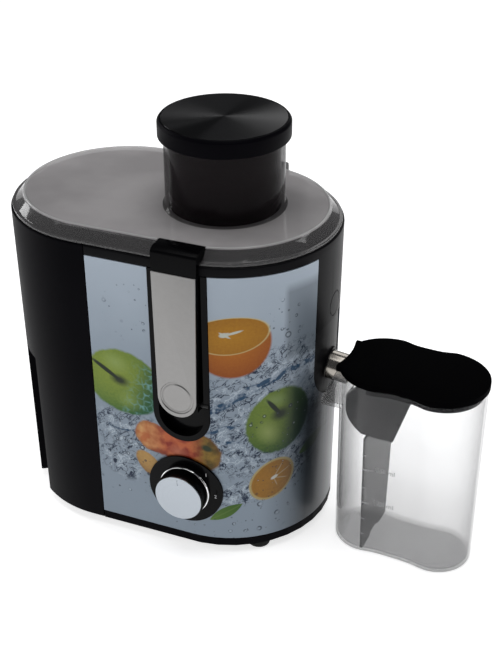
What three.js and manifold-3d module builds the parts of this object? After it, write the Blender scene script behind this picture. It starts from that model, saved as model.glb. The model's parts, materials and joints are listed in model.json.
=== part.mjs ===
// A compact centrifugal juicer with its juice jug, in millimetres, +Z up, front towards -Y.
// The drive axis stands on x = 0, y = 0 while the pieces are made; the whole group is then moved
// so that the origin lies in the middle of the footprint, on the surface the juicer stands on.

import * as THREE from 'three';
import { mergeVertices } from 'three/addons/utils/BufferGeometryUtils.js';
import Module from 'manifold-3d';

const wasm = await Module();
wasm.setup();

// ---------------------------------------------------------------- driving dimensions

const GAP = 0.3;                     // clearance between two pieces that touch
const COLUMNS = 36;                  // facets round a full turn of the casing
const ROUND = 24;                    // facets round an ordinary turned piece
const SMALL = 12;                    // facets round a small turned piece

// Casing: a drafted stadium, two half circles joined by straight sides.
const CASE_RIGHT = 3.3;              // x of the right half circle's centre
const CASE_LEFT = -73.4;             // x of the left half circle's centre
const CASE_FOOT_Z = 6.2;             // underside of the casing
const CASE_FOOT_R = 70.6;            // half width there
const RIM_Z = 218.5;                 // top edge of the casing
const RIM_R = 73.06;                 // half width there
const WALL = 2.4;                    // moulded wall
const SEAM_X = -63.6;                // joint between motor housing and pulp container
const PLINTH_TOP = 12.2;             // top of the base plate's visible strip
const BAND_Z = 212.3;                // underside of the rim band round the bowl
const SHEET = 0.8;                   // printed steel wrap
const TRAY_INSET = 9.2;              // base plate's tongue under the pulp container
const TRAY_TOP = 8.9;
const GRIP_FROM = THREE.MathUtils.degToRad(33);  // finger grip, angle from the end
const GRIP_TO = THREE.MathUtils.degToRad(54);
const GRIP_DEPTH = 6;
const GRIP_TOP = 117;

// Juice bowl, drive and basket.
const DECK_Z = 107;                  // underside of the motor deck
const DECK_TOP = 109.5;
const BOWL_OUT = 63.2;
const BOWL_IN = 61.3;
const BOWL_FLOOR = 111.4;
const BOWL_FLOOR_TOP = 113.4;
const SILL_Z = 197;                  // sill that the pulp passes over
const SILL_HALF = 42;
const CHIMNEY_R = 14;
const CHIMNEY_TOP = 127;
const BASKET_R = 59.5;
const BASKET_TOP = 202.5;
const BASKET_BASE = 131;
const BASKET_FLOOR_R = 38;
const BASKET_WALL_R = 57;            // outside of the sieve wall under its rim
const BASKET_RIM = 6;                // height of the rim
const BASKET_SHEET = 1.6;
const GRATER_R = 35.5;
const GRATER_Z = 135;
const GRATER_SHEET = 1.6;
const TOOTH_ROWS = [[12, 6], [19, 9], [26, 12]];  // radius and number of teeth
const TOOTH_HEIGHT = 2.4;
const SHAFT_R = 4;

// Apron at the right end, and the steel spout through it.
const APRON_HALF = 23.75;
const APRON_BOTTOM = 105;
const APRON_STEP_Z = 159.5;
const SPOUT_R = 9.75;
const SPOUT_BORE = 8.8;
const SPOUT_TILT = THREE.MathUtils.degToRad(7);
const SPOUT_Z = 123.7;               // height of its axis where it leaves the apron
const SPOUT_START = 60.6;
const SPOUT_END = 88;

// Lid with its feed chute.
const LID_FOOT_Z = RIM_Z + GAP;
const LID_FLANGE_TOP = 220.6;
const LID_FLANGE_R = 71.9;
const LID_TOP = 227.4;
const LID_TOP_R = 63.4;
const LID_WALL = 2;
const LID_LEDGE_Y = 58.6;            // |y| where the ledge for a clamp begins
const LID_POCKET_Y = 61.6;           // |y| of the pocket's inner wall
const CHUTE_R = 38.2;
const CHUTE_BORE = 35.4;
const CHUTE_TOP = 273.4;
const CHUTE_LOW_R = 36;
const CHUTE_LOW_BORE = 34.3;
const CHUTE_BOTTOM = 142.5;

// Pusher.
const CAP_R = 41.8;
const CAP_FACE_R = 39.3;
const CAP_TOP = 285.4;
const CAP_BOTTOM = CHUTE_TOP + GAP;
const PUSHER_R = 33.6;
const PUSHER_SPLIT = 242.6;          // joint between clear sleeve and black foot
const PUSHER_BOTTOM = 146;

// Clamps, front and rear.
const CLAMP_X = -1.2;
const WELL_HALF = 19.35;             // frame, outside
const WELL_BOTTOM = 88.8;
const POCKET_HALF = 15.65;           // pocket, inside
const POCKET_BOTTOM = 92.7;
const POCKET_BACK = 66;              // |y| of the pocket's back wall
const CLAMP_HALF_TOP = 14.6;
const CLAMP_HALF_LOW = 13;
const CLAMP_LOW_Z = 110.8;
const CLAMP_PLATE_TOP = 213;
const CLAMP_INNER = 73.6;            // |y| of the arm's inner face
const CLAMP_OUTER = 77;
const CLAMP_TOP = 228;
const CLAMP_HOOK_Z = 221.1;
const CLAMP_HOOK_IN = 62.8;
const PIN_Y = 69.6;
const PIN_Z = 119;
const PIN_R = 2;
const PIN_HALF = 18.6;
const KNUCKLE_R = 3.1;
const WEB_HALF = 2.6;
const ARM_SLOPE = 3.6;               // slope along the arm's top outer edge
const PLATE = 0.8;

// Speed knob.
const KNOB_Z = 50.3;
const BEZEL_R = 25.8;
const BEZEL_STAND = 1.2;
const KNOB_RING_R = 18;
const KNOB_R = 17.2;
const KNOB_FACE_R = 16.4;
const SPINDLE_R = 3;
const KNOB_BACK = 72.9;              // |y| where the turning pieces begin
const KNOB_FRONT = 83.3;
const KNOB_RING_DEEP = 1.2;
const KNOB_HOLE_R = 6.5;
const KNOB_STEM = 4;                 // depth of the hole for the spindle
const KNOB_FACE = 0.7;
const SWITCH_HALF = 14;
const SWITCH_FRONT = 64;
const SWITCH_BACK = 50;
const SWITCH_TAB_HALF = 20;
const SWITCH_TAB = 1.5;

// Feet, screws and the lead's gland.
const FOOT_R = 7.9;
const FOOT_SPOTS = [[42.9, -47.3], [42.9, 47.3], [-108, -40], [-108, 40]];
const SCREW_SPOTS = [[54, -24], [54, 24], [-52, -30], [-52, 30]];
const GLAND_X = -30;
const GLAND_Z = 26;
const GLAND_HOLE_R = 5.3;

// Motor.
const STACK_BOTTOM = 60;
const STACK_TOP = 88;
const STACK_X = 36;
const STACK_Y = 28;
const BORE_R = 18;
const LEG_IN = 26;                   // inner face of the yoke's side legs
const COIL_BUILD = 5.5;
const COIL_HALF = 15;
const BEARING_R = 11;
const BOLT_SPOTS = [[-31, -24], [31, 24]];
const BOLT_R = 1.6;
const BOLT_HEAD_R = 3.2;
const SHAFT_BOTTOM = 36;
const SHAFT_TOP = 126;
const ARMATURE_R = 17.3;
const WINDING_R = 15.5;
const WINDING_END_R = 12;
const WINDING_BOTTOM = 54;
const COMMUTATOR_R = 9.5;
const COMMUTATOR_BOTTOM = 45;
const COMMUTATOR_TOP = 53;
const FAN_HUB_R = 9;
const FAN_R = 31;
const FAN_BOTTOM = 94.2;
const FAN_PLATE_TOP = 95.4;
const FAN_TOP = 98;
const FAN_BLADES = 9;
const FAN_BLADE = [22.5, 1.4, 3];     // length, thickness, height
const BRIDGE_WINDOW = [24, 18];      // half width, |y| where it begins
const HOLDER = { from: 12.5, to: 30, half: 4.5, bottom: 43, top: 53.6 };
const HOLDER_ROOM = { from: 12, to: 28, half: 2.8, bottom: 45.5, top: 51.9 };
const BRUSH = { from: 9.8, to: 22, half: 2.5, bottom: 45.8, top: 51.6 };
const CUSHION_IN = 24;
const CUSHION_OUT = 30;
const CUSHION_BOTTOM = 103.5;
const COUPLING_R = 9;
const COUPLING_NOSE_R = 7;
const COUPLING_LOW = 9;              // how far it reaches below the chimney's top
const COUPLING_NOSE = 3.4;           // and above it

// Jug: a waisted stadium that widens upwards, turned a little where it stands.
const JUG_X = 133.35;
const JUG_Y = -9.4;
const JUG_TURN = THREE.MathUtils.degToRad(-4);
const JUG_HALF_LOW = 23.9;           // half distance of the end circles at the bottom
const JUG_HALF_TOP = 18.3;
const JUG_R_LOW = 23.6;
const JUG_R_TOP = 30;
const JUG_RIM = 134.5;
const JUG_WALL = 1.8;
const JUG_WAIST = 2.6;
const JUG_DIVIDER_X = -22.3;
const JUG_DIVIDER_TOP = 95;
const JUG_DIVIDER = 1.6;
const DIVIDER_GAP_HALF = 7;          // gap at its foot that lets the juice through
const DIVIDER_GAP = 3.5;
const LIP_HALF = 18.6;               // pouring lip, outside half width
const LIP_REACH = -55.6;
const LIP_FLOOR = 107.6;
const LIP_TOP_X = -46.2;
const LIP_NOSE = 4;
const JUG_LID_TOP = 138.8;
const JUG_LID_R = 30.6;
const HORN_TIP_X = -46.4;
const HORN_ROOT_X = -30;
const HORN_HALF = 17.6;
const SCOOP_R = 52;                  // hollow between the horns
const SCOOP_X = -96.2;
const PLUG_INSET = 0.5;
const PLUG_WALL = 1.6;
const PLUG_END_X = -22;
const PLUG_BOTTOM = 129.5;
const GUARD_R = 22.6;
const GUARD_X = -21.4;               // middle of its round end
const GUARD_WALL = 1.6;
const GUARD_BACK = 4;                // y where it ends behind
const GUARD_BOTTOM = 95.4;

// ---------------------------------------------------------------- finishes

function finish(color, roughness, metalness = 0) {
  return new THREE.MeshStandardMaterial({ color, roughness, metalness });
}

const FINISH = {
  charcoal: finish(0x141416, 0.42),
  glossBlack: finish(0x0d0d0f, 0.18),
  printedSteel: finish(0xa9b8c6, 0.35, 0.3),
  smoky: finish(0x777070, 0.15),
  clear: finish(0xb9bcc0, 0.1),
  smokeGrey: finish(0x3b3b3e, 0.3),
  silver: finish(0xb4b4b4, 0.4, 0.8),
  chrome: finish(0xd8d8da, 0.12, 1),
  steel: finish(0xbdb2a4, 0.25, 1),
  rubber: finish(0x101010, 0.8),
  darkSteel: finish(0x55585c, 0.45, 0.8),
  copper: finish(0xb06a3a, 0.4, 0.9),
  zinc: finish(0xa6a8a6, 0.4, 0.8),
  whitePlastic: finish(0xd9d7d0, 0.5),
  carbon: finish(0x202022, 0.7),
};

// ---------------------------------------------------------------- solids

/** Makes a manifold solid from a closed three.js geometry, facing out. */
function solid(geometry) {
  const bare = geometry.clone();
  bare.deleteAttribute('normal');
  bare.deleteAttribute('uv');
  const merged = mergeVertices(bare, 1e-4);
  const place = merged.attributes.position;
  const index = merged.index.array;
  const corner = (i) => new THREE.Vector3().fromBufferAttribute(place, i);
  const kept = [];
  let volume = 0;
  for (let i = 0; i < index.length; i += 3) {
    const [a, b, c] = [index[i], index[i + 1], index[i + 2]];
    if (a === b || b === c || a === c) continue;
    kept.push([a, b, c]);
    volume += corner(a).dot(corner(b).cross(corner(c)));
  }
  const facing = volume > 0 ? kept : kept.map(([a, b, c]) => [a, c, b]);
  return new wasm.Manifold(new wasm.Mesh({
    numProp: 3,
    vertProperties: Float32Array.from(place.array),
    triVerts: Uint32Array.from(facing.flat()),
  }));
}

function union(...parts) {
  return parts.reduce((sum, part) => sum.add(part));
}

function cut(body, ...tools) {
  return tools.reduce((rest, tool) => rest.subtract(tool), body);
}

function box(x0, x1, y0, y1, z0, z1) {
  const shape = new THREE.BoxGeometry(x1 - x0, y1 - y0, z1 - z0);
  shape.translate((x0 + x1) / 2, (y0 + y1) / 2, (z0 + z1) / 2);
  return solid(shape);
}

/** Turned piece about Z. A profile of [radius, z] that leaves the axis is closed on itself. */
function turned(profile, segments = ROUND, x = 0, y = 0) {
  const points = profile.map(([r, z]) => new THREE.Vector2(r, z));
  if (profile[0][0] > 0) points.push(points[0].clone());
  const shape = new THREE.LatheGeometry(points, segments);
  shape.rotateX(Math.PI / 2);
  shape.translate(x, y, 0);
  return solid(shape);
}

/** Stadium piece: a turned profile whose left and right halves stand apart. */
function stadium(profile, segments = COLUMNS, left = CASE_LEFT, right = CASE_RIGHT) {
  const points = profile.map(([r, z]) => new THREE.Vector2(r, z));
  if (profile[0][0] > 0) points.push(points[0].clone());
  const start = Math.PI / segments;
  const shape = new THREE.LatheGeometry(points, segments, start, 2 * Math.PI);
  shape.rotateX(Math.PI / 2);
  const place = shape.attributes.position;
  for (let i = 0; i < place.count; i += 1) {
    const column = Math.floor(i / points.length);
    const toRight = Math.sin(start + (column * 2 * Math.PI) / segments) > 0;
    place.setX(i, place.getX(i) + (toRight ? right : left));
  }
  return solid(shape);
}

/** Half width of the casing at a height. */
function caseR(z) {
  return CASE_FOOT_R + ((RIM_R - CASE_FOOT_R) * (z - CASE_FOOT_Z)) / (RIM_Z - CASE_FOOT_Z);
}

/** Solid stadium that follows the casing's draft, moved in or out by an offset. */
function caseSolid(offset, z0, z1) {
  return stadium([[0, z0], [caseR(z0) + offset, z0], [caseR(z1) + offset, z1], [0, z1]]);
}

/** Shell that follows the casing's draft between two offsets. */
function caseShell(inner, outer, z0, z1) {
  return stadium([
    [caseR(z0) + inner, z0], [caseR(z0) + outer, z0],
    [caseR(z1) + outer, z1], [caseR(z1) + inner, z1],
  ]);
}

function upright(radius, z0, z1, x = 0, y = 0, segments = ROUND) {
  return turned([[0, z0], [radius, z0], [radius, z1], [0, z1]], segments, x, y);
}

function ring(inner, outer, z0, z1, segments = ROUND) {
  return turned([[inner, z0], [outer, z0], [outer, z1], [inner, z1]], segments);
}

/** Turned piece about an axis along Y at (x, z); its profile is [radius, y]. */
function turnedAlongY(profile, x, z, segments = ROUND) {
  const points = profile.map(([r, y]) => new THREE.Vector2(r, y));
  if (profile[0][0] > 0) points.push(points[0].clone());
  const shape = new THREE.LatheGeometry(points, segments);
  shape.translate(x, 0, z);
  return solid(shape);
}

function rodAlongY(radius, y0, y1, x, z, segments = ROUND) {
  return turnedAlongY([[0, y0], [radius, y0], [radius, y1], [0, y1]], x, z, segments);
}

function rodAlongX(radius, x0, x1, y, z, segments = SMALL) {
  const shape = new THREE.CylinderGeometry(radius, radius, x1 - x0, segments);
  shape.rotateZ(Math.PI / 2);
  shape.translate((x0 + x1) / 2, y, z);
  return solid(shape);
}

/** Prism with an outline in (x, z), between two values of y. */
function prismAlongY(outline, y0, y1) {
  const shape = new THREE.ExtrudeGeometry(outline, {
    depth: y1 - y0, bevelEnabled: false, curveSegments: 12,
  });
  shape.rotateX(Math.PI / 2);
  shape.translate(0, y1, 0);
  return solid(shape);
}

/** Outline of an upright slot with a half round bottom, open-topped at a height. */
function slotOutline(x, half, bottom, top, halfTop = half) {
  const outline = new THREE.Shape();
  outline.moveTo(x + halfTop, top);
  outline.lineTo(x - halfTop, top);
  outline.lineTo(x - half, bottom + half);
  outline.absarc(x, bottom + half, half, Math.PI, 2 * Math.PI, false);
  outline.lineTo(x + halfTop, top);
  return outline;
}

/** Names a solid as a mesh of the juicer. */
function piece(name, body, material) {
  const { vertProperties, triVerts } = body.getMesh();
  const geometry = new THREE.BufferGeometry();
  geometry.setAttribute('position', new THREE.BufferAttribute(Float32Array.from(vertProperties), 3));
  geometry.setIndex(new THREE.BufferAttribute(Uint32Array.from(triVerts), 1));
  geometry.computeVertexNormals();
  const mesh = new THREE.Mesh(geometry, material);
  mesh.name = name;
  return mesh;
}

/** Mirror of a solid front to back. */
function toRear(body) {
  return body.mirror([0, 1, 0]);
}

// ---------------------------------------------------------------- openings shared by the shells

/** Space for the clamp's frame, cut from the housing and the wrap at the front. */
function clampOpening() {
  return prismAlongY(slotOutline(CLAMP_X, WELL_HALF + GAP, WELL_BOTTOM - GAP, RIM_Z), -90, -40);
}

/** Outline of the apron at the right end, in (y, z), as a solid with a margin round it. */
function apronSpace(margin) {
  const outline = slotOutline(0, APRON_HALF + margin, APRON_BOTTOM - margin, RIM_Z);
  const shape = new THREE.ExtrudeGeometry(outline, { depth: 60, bevelEnabled: false, curveSegments: 12 });
  shape.rotateX(Math.PI / 2);
  shape.rotateZ(Math.PI / 2);
  shape.translate(40, 0, 0);
  return solid(shape);
}

/** Everything on the pulp container's side of a seam. */
function leftOf(x) {
  return box(-200, x, -100, 100, -10, 300);
}

// ---------------------------------------------------------------- casing

function basePlate() {
  const plinth = cut(caseSolid(0, CASE_FOOT_Z, PLINTH_TOP), leftOf(SEAM_X + GAP));
  const well = cut(caseSolid(-3 * WALL, TRAY_TOP, PLINTH_TOP + 1), leftOf(SEAM_X + 3 * WALL));
  const tray = caseSolid(-TRAY_INSET, CASE_FOOT_Z, TRAY_TOP);
  let body = union(cut(plinth, well), tray);
  for (const [x, y] of SCREW_SPOTS) {
    body = cut(body, upright(2.3, 0, 20, x, y, SMALL), upright(4.2, 0, CASE_FOOT_Z + 1.4, x, y, SMALL));
  }
  for (let i = -3; i <= 3; i += 1) {
    body = cut(body, box(i * 8 - 1.5, i * 8 + 1.5, -22, 22, 0, 20));
  }
  return body;
}

function motorHousing() {
  const top = BAND_Z - GAP;
  const bottom = PLINTH_TOP + GAP;
  const skin = SHEET + GAP;
  const outer = cut(caseSolid(-skin, bottom, top), leftOf(SEAM_X + GAP));
  const lower = cut(caseSolid(-skin - WALL, bottom - 1, DECK_Z), leftOf(SEAM_X + GAP + WALL));
  const upper = cut(caseSolid(-skin - WALL, DECK_TOP, top + 1), leftOf(SEAM_X + GAP + WALL));
  let body = cut(outer, lower, upper);
  body = cut(
    body,
    box(SEAM_X - 5, SEAM_X + 5, -24, 24, DECK_TOP, RIM_Z),
    box(SEAM_X - 5, SEAM_X + 5, -SILL_HALF - 2, SILL_HALF + 2, SILL_Z - 1, RIM_Z),
  );
  for (const [x, y] of SCREW_SPOTS) {
    body = union(body, upright(4, bottom, DECK_Z + 1, x, y, SMALL));
    body = cut(body, upright(1.6, bottom - 1, 30, x, y, SMALL));
  }
  const opening = clampOpening();
  body = cut(body, opening, toRear(opening), apronSpace(GAP));
  body = cut(body, upright(SHAFT_R + 5, DECK_Z - 1, DECK_TOP + 1, 0, 0));
  body = cut(body, rodAlongY(KNOB_HOLE_R, -90, -50, 0, KNOB_Z, SMALL));
  return cut(body, rodAlongY(GLAND_HOLE_R, 50, 90, GLAND_X, GLAND_Z, SMALL));
}

function printedWrap() {
  const opening = clampOpening();
  let body = cut(caseShell(-SHEET, 0, PLINTH_TOP + GAP, BAND_Z - GAP), leftOf(SEAM_X + GAP));
  body = cut(body, opening, toRear(opening), apronSpace(GAP));
  body = cut(body, rodAlongY(KNOB_HOLE_R, -90, -50, 0, KNOB_Z, SMALL));
  return cut(body, rodAlongY(GLAND_HOLE_R, 50, 90, GLAND_X, GLAND_Z, SMALL));
}

/** Finger grip beside the middle strip of the pulp container's end. */
function fingerGrip(depth, margin) {
  const reach = 120;
  const outline = new THREE.Shape();
  const spread = margin / CASE_FOOT_R;
  outline.moveTo(CASE_LEFT, 0);
  outline.lineTo(CASE_LEFT - reach * Math.cos(GRIP_FROM - spread), -reach * Math.sin(GRIP_FROM - spread));
  outline.lineTo(CASE_LEFT - reach * Math.cos(GRIP_TO + spread), -reach * Math.sin(GRIP_TO + spread));
  outline.closePath();
  const wedge = new THREE.ExtrudeGeometry(outline, { depth: GRIP_TOP + margin, bevelEnabled: false });
  return solid(wedge).intersect(caseShell(-depth - margin, 3, CASE_FOOT_Z - 1, GRIP_TOP + margin));
}

function pulpContainer() {
  const floor = TRAY_TOP + GAP;
  const seam = box(SEAM_X - GAP, 200, -100, 100, -10, 300);
  const grips = union(fingerGrip(GRIP_DEPTH, 0), toRear(fingerGrip(GRIP_DEPTH, 0)));
  const backing = union(fingerGrip(GRIP_DEPTH, WALL), toRear(fingerGrip(GRIP_DEPTH, WALL)));
  const outer = cut(caseSolid(0, CASE_FOOT_Z, RIM_Z), seam, grips);
  const hollow = cut(
    caseSolid(-WALL, floor + WALL, RIM_Z + 1),
    box(SEAM_X - GAP - WALL, 200, -100, 100, -10, 300),
    backing,
  );
  const underside = cut(caseSolid(-WALL, CASE_FOOT_Z - 1, floor), backing);
  const mouth = box(SEAM_X - 10, SEAM_X, -SILL_HALF - 2, SILL_HALF + 2, SILL_Z - 1, RIM_Z + 1);
  return cut(outer, hollow, underside, mouth);
}

// ---------------------------------------------------------------- juice bowl and spout

/** Tilted rod along the spout's axis, for the tube, its bore and its boss. */
function alongSpout(radius, from, to) {
  const shape = new THREE.CylinderGeometry(radius, radius, to - from, ROUND);
  shape.rotateZ(Math.PI / 2);
  shape.translate((from + to) / 2 - CASE_RIGHT - caseR(SPOUT_Z), 0, 0);
  shape.rotateY(SPOUT_TILT);
  shape.translate(CASE_RIGHT + caseR(SPOUT_Z), 0, SPOUT_Z);
  return solid(shape);
}

function juiceBowl() {
  const seam = leftOf(SEAM_X + GAP);
  const cup = turned([
    [BOWL_IN, BAND_Z + 2], [BOWL_OUT, BAND_Z + 2], [BOWL_OUT, BOWL_FLOOR], [CHIMNEY_R - 2, BOWL_FLOOR],
    [CHIMNEY_R - 2, CHIMNEY_TOP], [CHIMNEY_R, CHIMNEY_TOP], [CHIMNEY_R, BOWL_FLOOR_TOP],
    [BOWL_IN, BOWL_FLOOR_TOP],
  ], COLUMNS);
  const bore = upright(BOWL_IN, BAND_Z - 1, RIM_Z + 1, 0, 0, COLUMNS);
  const deck = cut(caseSolid(0, BAND_Z, RIM_Z), caseSolid(-3, BAND_Z + 2, RIM_Z + 1), bore, seam);
  const apron = caseShell(-WALL, 0, APRON_BOTTOM, BAND_Z + 1).intersect(apronSpace(0));
  const step = caseShell(-1, 1, APRON_BOTTOM - 1, APRON_STEP_Z).intersect(apronSpace(1));
  const boss = alongSpout(SPOUT_R + 2, BOWL_IN + 0.6, 74);
  const sill = box(-80, -30, -SILL_HALF, SILL_HALF, SILL_Z, RIM_Z + 1);
  let body = union(cup, deck, cut(apron, step), boss);
  body = cut(body, upright(BOWL_IN, BOWL_FLOOR_TOP + 2, 150, 0, 0, COLUMNS).intersect(boss));
  return cut(body, sill, alongSpout(SPOUT_R + GAP, 50, 100));
}

function spout() {
  const tube = cut(alongSpout(SPOUT_R, SPOUT_START, SPOUT_END), alongSpout(SPOUT_BORE, 50, 100));
  return tube.intersect(box(50, 200, -50, 50, BOWL_FLOOR_TOP - 3, 200));
}

function shaftSeal() {
  return turned([
    [SHAFT_R + GAP, DECK_Z - 1], [SHAFT_R + 4.6, DECK_Z - 1], [SHAFT_R + 4.6, DECK_TOP + GAP],
    [SHAFT_R + 7, DECK_TOP + GAP], [SHAFT_R + 7, DECK_TOP + 1.5], [SHAFT_R + GAP, DECK_TOP + 1.5],
  ]);
}

// ---------------------------------------------------------------- lid with its feed chute

/** Ledge and pocket in the lid's flank that one clamp hooks over. */
function clampPocket(shell, outer) {
  const room = POCKET_HALF + 2;
  const block = outer.intersect(
    box(CLAMP_X - room, CLAMP_X + room, -80, -LID_LEDGE_Y, LID_FOOT_Z, LID_TOP),
  );
  const pocket = box(CLAMP_X - POCKET_HALF, CLAMP_X + POCKET_HALF, -90, -LID_POCKET_Y, LID_FLANGE_TOP, 300);
  return cut(union(shell, block), pocket);
}

function lid() {
  const shoulder = LID_FLANGE_R - LID_WALL;
  const outer = stadium([
    [0, LID_FOOT_Z], [LID_FLANGE_R, LID_FOOT_Z], [LID_FLANGE_R, LID_FLANGE_TOP],
    [shoulder, LID_FLANGE_TOP], [LID_TOP_R + 0.8, LID_TOP - 0.9], [LID_TOP_R, LID_TOP], [0, LID_TOP],
  ]);
  const inner = stadium([
    [0, LID_FOOT_Z - 1], [shoulder - LID_WALL, LID_FOOT_Z - 1], [shoulder - LID_WALL, LID_FOOT_Z + 1],
    [LID_TOP_R - 1, LID_TOP - LID_WALL], [0, LID_TOP - LID_WALL],
  ]);
  const skirt = cut(
    caseShell(-6.6, -4.8, RIM_Z - 2.5, LID_FOOT_Z + 1.4),
    leftOf(SEAM_X + 6),
  );
  let shell = union(cut(outer, inner), skirt);
  shell = clampPocket(shell, outer);
  shell = toRear(clampPocket(toRear(shell), outer));
  const chute = turned([
    [CHUTE_LOW_R, CHUTE_BOTTOM], [CHUTE_LOW_R, LID_TOP], [CHUTE_R + 1.2, LID_TOP],
    [CHUTE_R, LID_TOP + 2.4], [CHUTE_R, CHUTE_TOP], [CHUTE_BORE, CHUTE_TOP],
    [CHUTE_BORE, LID_TOP - LID_WALL], [CHUTE_LOW_BORE, LID_TOP - LID_WALL - 2],
    [CHUTE_LOW_BORE, CHUTE_BOTTOM],
  ], COLUMNS);
  const bore = upright(CHUTE_LOW_R - 0.5, LID_TOP - 5, LID_TOP + 5, 0, 0, COLUMNS);
  return union(cut(shell, bore), chute);
}

// ---------------------------------------------------------------- pusher

function pusherSleeve() {
  return turned([
    [0, PUSHER_SPLIT], [PUSHER_R, PUSHER_SPLIT], [PUSHER_R, CAP_BOTTOM - GAP],
    [PUSHER_R - 2, CAP_BOTTOM - GAP], [PUSHER_R - 2, PUSHER_SPLIT + 2], [0, PUSHER_SPLIT + 2],
  ]);
}

function pusherFoot() {
  const top = PUSHER_SPLIT - GAP;
  return turned([
    [0, PUSHER_BOTTOM], [PUSHER_R - 3, PUSHER_BOTTOM], [PUSHER_R, PUSHER_BOTTOM + 3], [PUSHER_R, top],
    [PUSHER_R - 2, top], [PUSHER_R - 2, PUSHER_BOTTOM + 5], [0, PUSHER_BOTTOM + 5],
  ]);
}

function pusherCap() {
  const seat = CAP_TOP - 1.5;
  return turned([
    [0, CAP_BOTTOM], [CAP_R - 1, CAP_BOTTOM], [CAP_R, CAP_BOTTOM + 1], [CAP_R, CAP_TOP - 2],
    [CAP_FACE_R + 0.9, CAP_TOP - 0.2], [CAP_FACE_R + GAP, CAP_TOP - 0.2], [CAP_FACE_R + GAP, seat],
    [0, seat],
  ], COLUMNS);
}

function capDisc() {
  return upright(CAP_FACE_R, CAP_TOP - 1.2, CAP_TOP, 0, 0, COLUMNS);
}

// ---------------------------------------------------------------- clamps

function clampFrame() {
  const outline = slotOutline(CLAMP_X, WELL_HALF, WELL_BOTTOM, BAND_Z - GAP);
  const pocket = slotOutline(CLAMP_X, POCKET_HALF, POCKET_BOTTOM, RIM_Z);
  const body = prismAlongY(outline, -90, -POCKET_BACK + 2).intersect(caseSolid(0.3, 80, BAND_Z));
  return cut(
    body,
    prismAlongY(pocket, -95, -POCKET_BACK),
    rodAlongX(PIN_R + GAP, CLAMP_X - PIN_HALF - GAP, CLAMP_X + PIN_HALF + GAP, -PIN_Y, PIN_Z),
  );
}

function clampPin() {
  return rodAlongX(PIN_R, CLAMP_X - PIN_HALF, CLAMP_X + PIN_HALF, -PIN_Y, PIN_Z);
}

function clampArm() {
  const outline = slotOutline(CLAMP_X, CLAMP_HALF_LOW, CLAMP_LOW_Z, CLAMP_TOP, CLAMP_HALF_TOP);
  const face = prismAlongY(outline, -CLAMP_OUTER, -CLAMP_INNER);
  const [x0, x1] = [CLAMP_X - CLAMP_HALF_TOP, CLAMP_X + CLAMP_HALF_TOP];
  const hook = box(x0, x1, -CLAMP_OUTER + 1, -CLAMP_HOOK_IN, CLAMP_HOOK_Z, CLAMP_TOP);
  const [f0, f1] = [CLAMP_X - CLAMP_HALF_LOW, CLAMP_X + CLAMP_HALF_LOW];
  const knuckle = rodAlongX(KNUCKLE_R, f0, f1, -PIN_Y, PIN_Z);
  const web = box(f0, f1, -CLAMP_OUTER + 1, -PIN_Y, PIN_Z - WEB_HALF, PIN_Z + WEB_HALF);
  const slope = rodAlongX(ARM_SLOPE, x0 - 1, x1 + 1, -CLAMP_OUTER, CLAMP_TOP, 4);
  return cut(
    union(face, hook, knuckle, web),
    slope,
    rodAlongX(PIN_R + GAP, CLAMP_X - 30, CLAMP_X + 30, -PIN_Y, PIN_Z),
  );
}

function clampPlate() {
  const outline = slotOutline(
    CLAMP_X, CLAMP_HALF_LOW - PLATE, CLAMP_LOW_Z + PLATE, CLAMP_PLATE_TOP, CLAMP_HALF_TOP - PLATE,
  );
  return prismAlongY(outline, -CLAMP_OUTER - GAP - PLATE, -CLAMP_OUTER - GAP);
}

// ---------------------------------------------------------------- speed knob and switch

function knobBezel() {
  const disc = rodAlongY(BEZEL_R, -90, -40, 0, KNOB_Z, COLUMNS);
  const skin = caseShell(GAP, GAP + BEZEL_STAND, 10, 100);
  return cut(skin.intersect(disc), rodAlongY(KNOB_HOLE_R, -95, -30, 0, KNOB_Z, SMALL));
}

function knobRing() {
  const front = -KNOB_BACK - KNOB_RING_DEEP;
  return turnedAlongY([
    [KNOB_HOLE_R - 0.5, front], [KNOB_RING_R - 0.4, front], [KNOB_RING_R, -KNOB_BACK],
    [KNOB_HOLE_R - 0.5, -KNOB_BACK],
  ], 0, KNOB_Z, COLUMNS);
}

function knobBody() {
  const back = -KNOB_BACK - KNOB_RING_DEEP - GAP;
  const front = -KNOB_FRONT + KNOB_FACE + GAP;
  return turnedAlongY([
    [0, back - KNOB_STEM], [SPINDLE_R + GAP, back - KNOB_STEM], [SPINDLE_R + GAP, back], [KNOB_R, back],
    [KNOB_R - 0.4, front], [0, front],
  ], 0, KNOB_Z, COLUMNS);
}

function knobFace() {
  return rodAlongY(KNOB_FACE_R, -KNOB_FRONT, -KNOB_FRONT + KNOB_FACE, 0, KNOB_Z, COLUMNS);
}

function switchSpindle() {
  return rodAlongY(SPINDLE_R, -KNOB_BACK - 5, -58, 0, KNOB_Z, SMALL);
}

function rotarySwitch() {
  const body = box(
    -SWITCH_HALF, SWITCH_HALF, -SWITCH_FRONT, -SWITCH_BACK, KNOB_Z - 13, KNOB_Z + 13,
  );
  const tab = box(
    -SWITCH_TAB_HALF, SWITCH_TAB_HALF, -SWITCH_FRONT, -SWITCH_FRONT + SWITCH_TAB, KNOB_Z - 5, KNOB_Z + 5,
  );
  return cut(union(body, tab), rodAlongY(SPINDLE_R + GAP, -80, -56, 0, KNOB_Z, SMALL));
}

// ---------------------------------------------------------------- motor and drive

function boltHoles(body) {
  const holes = BOLT_SPOTS.map(([x, y]) => upright(2.2, 0, 200, x, y, SMALL));
  return cut(body, ...holes);
}

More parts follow.
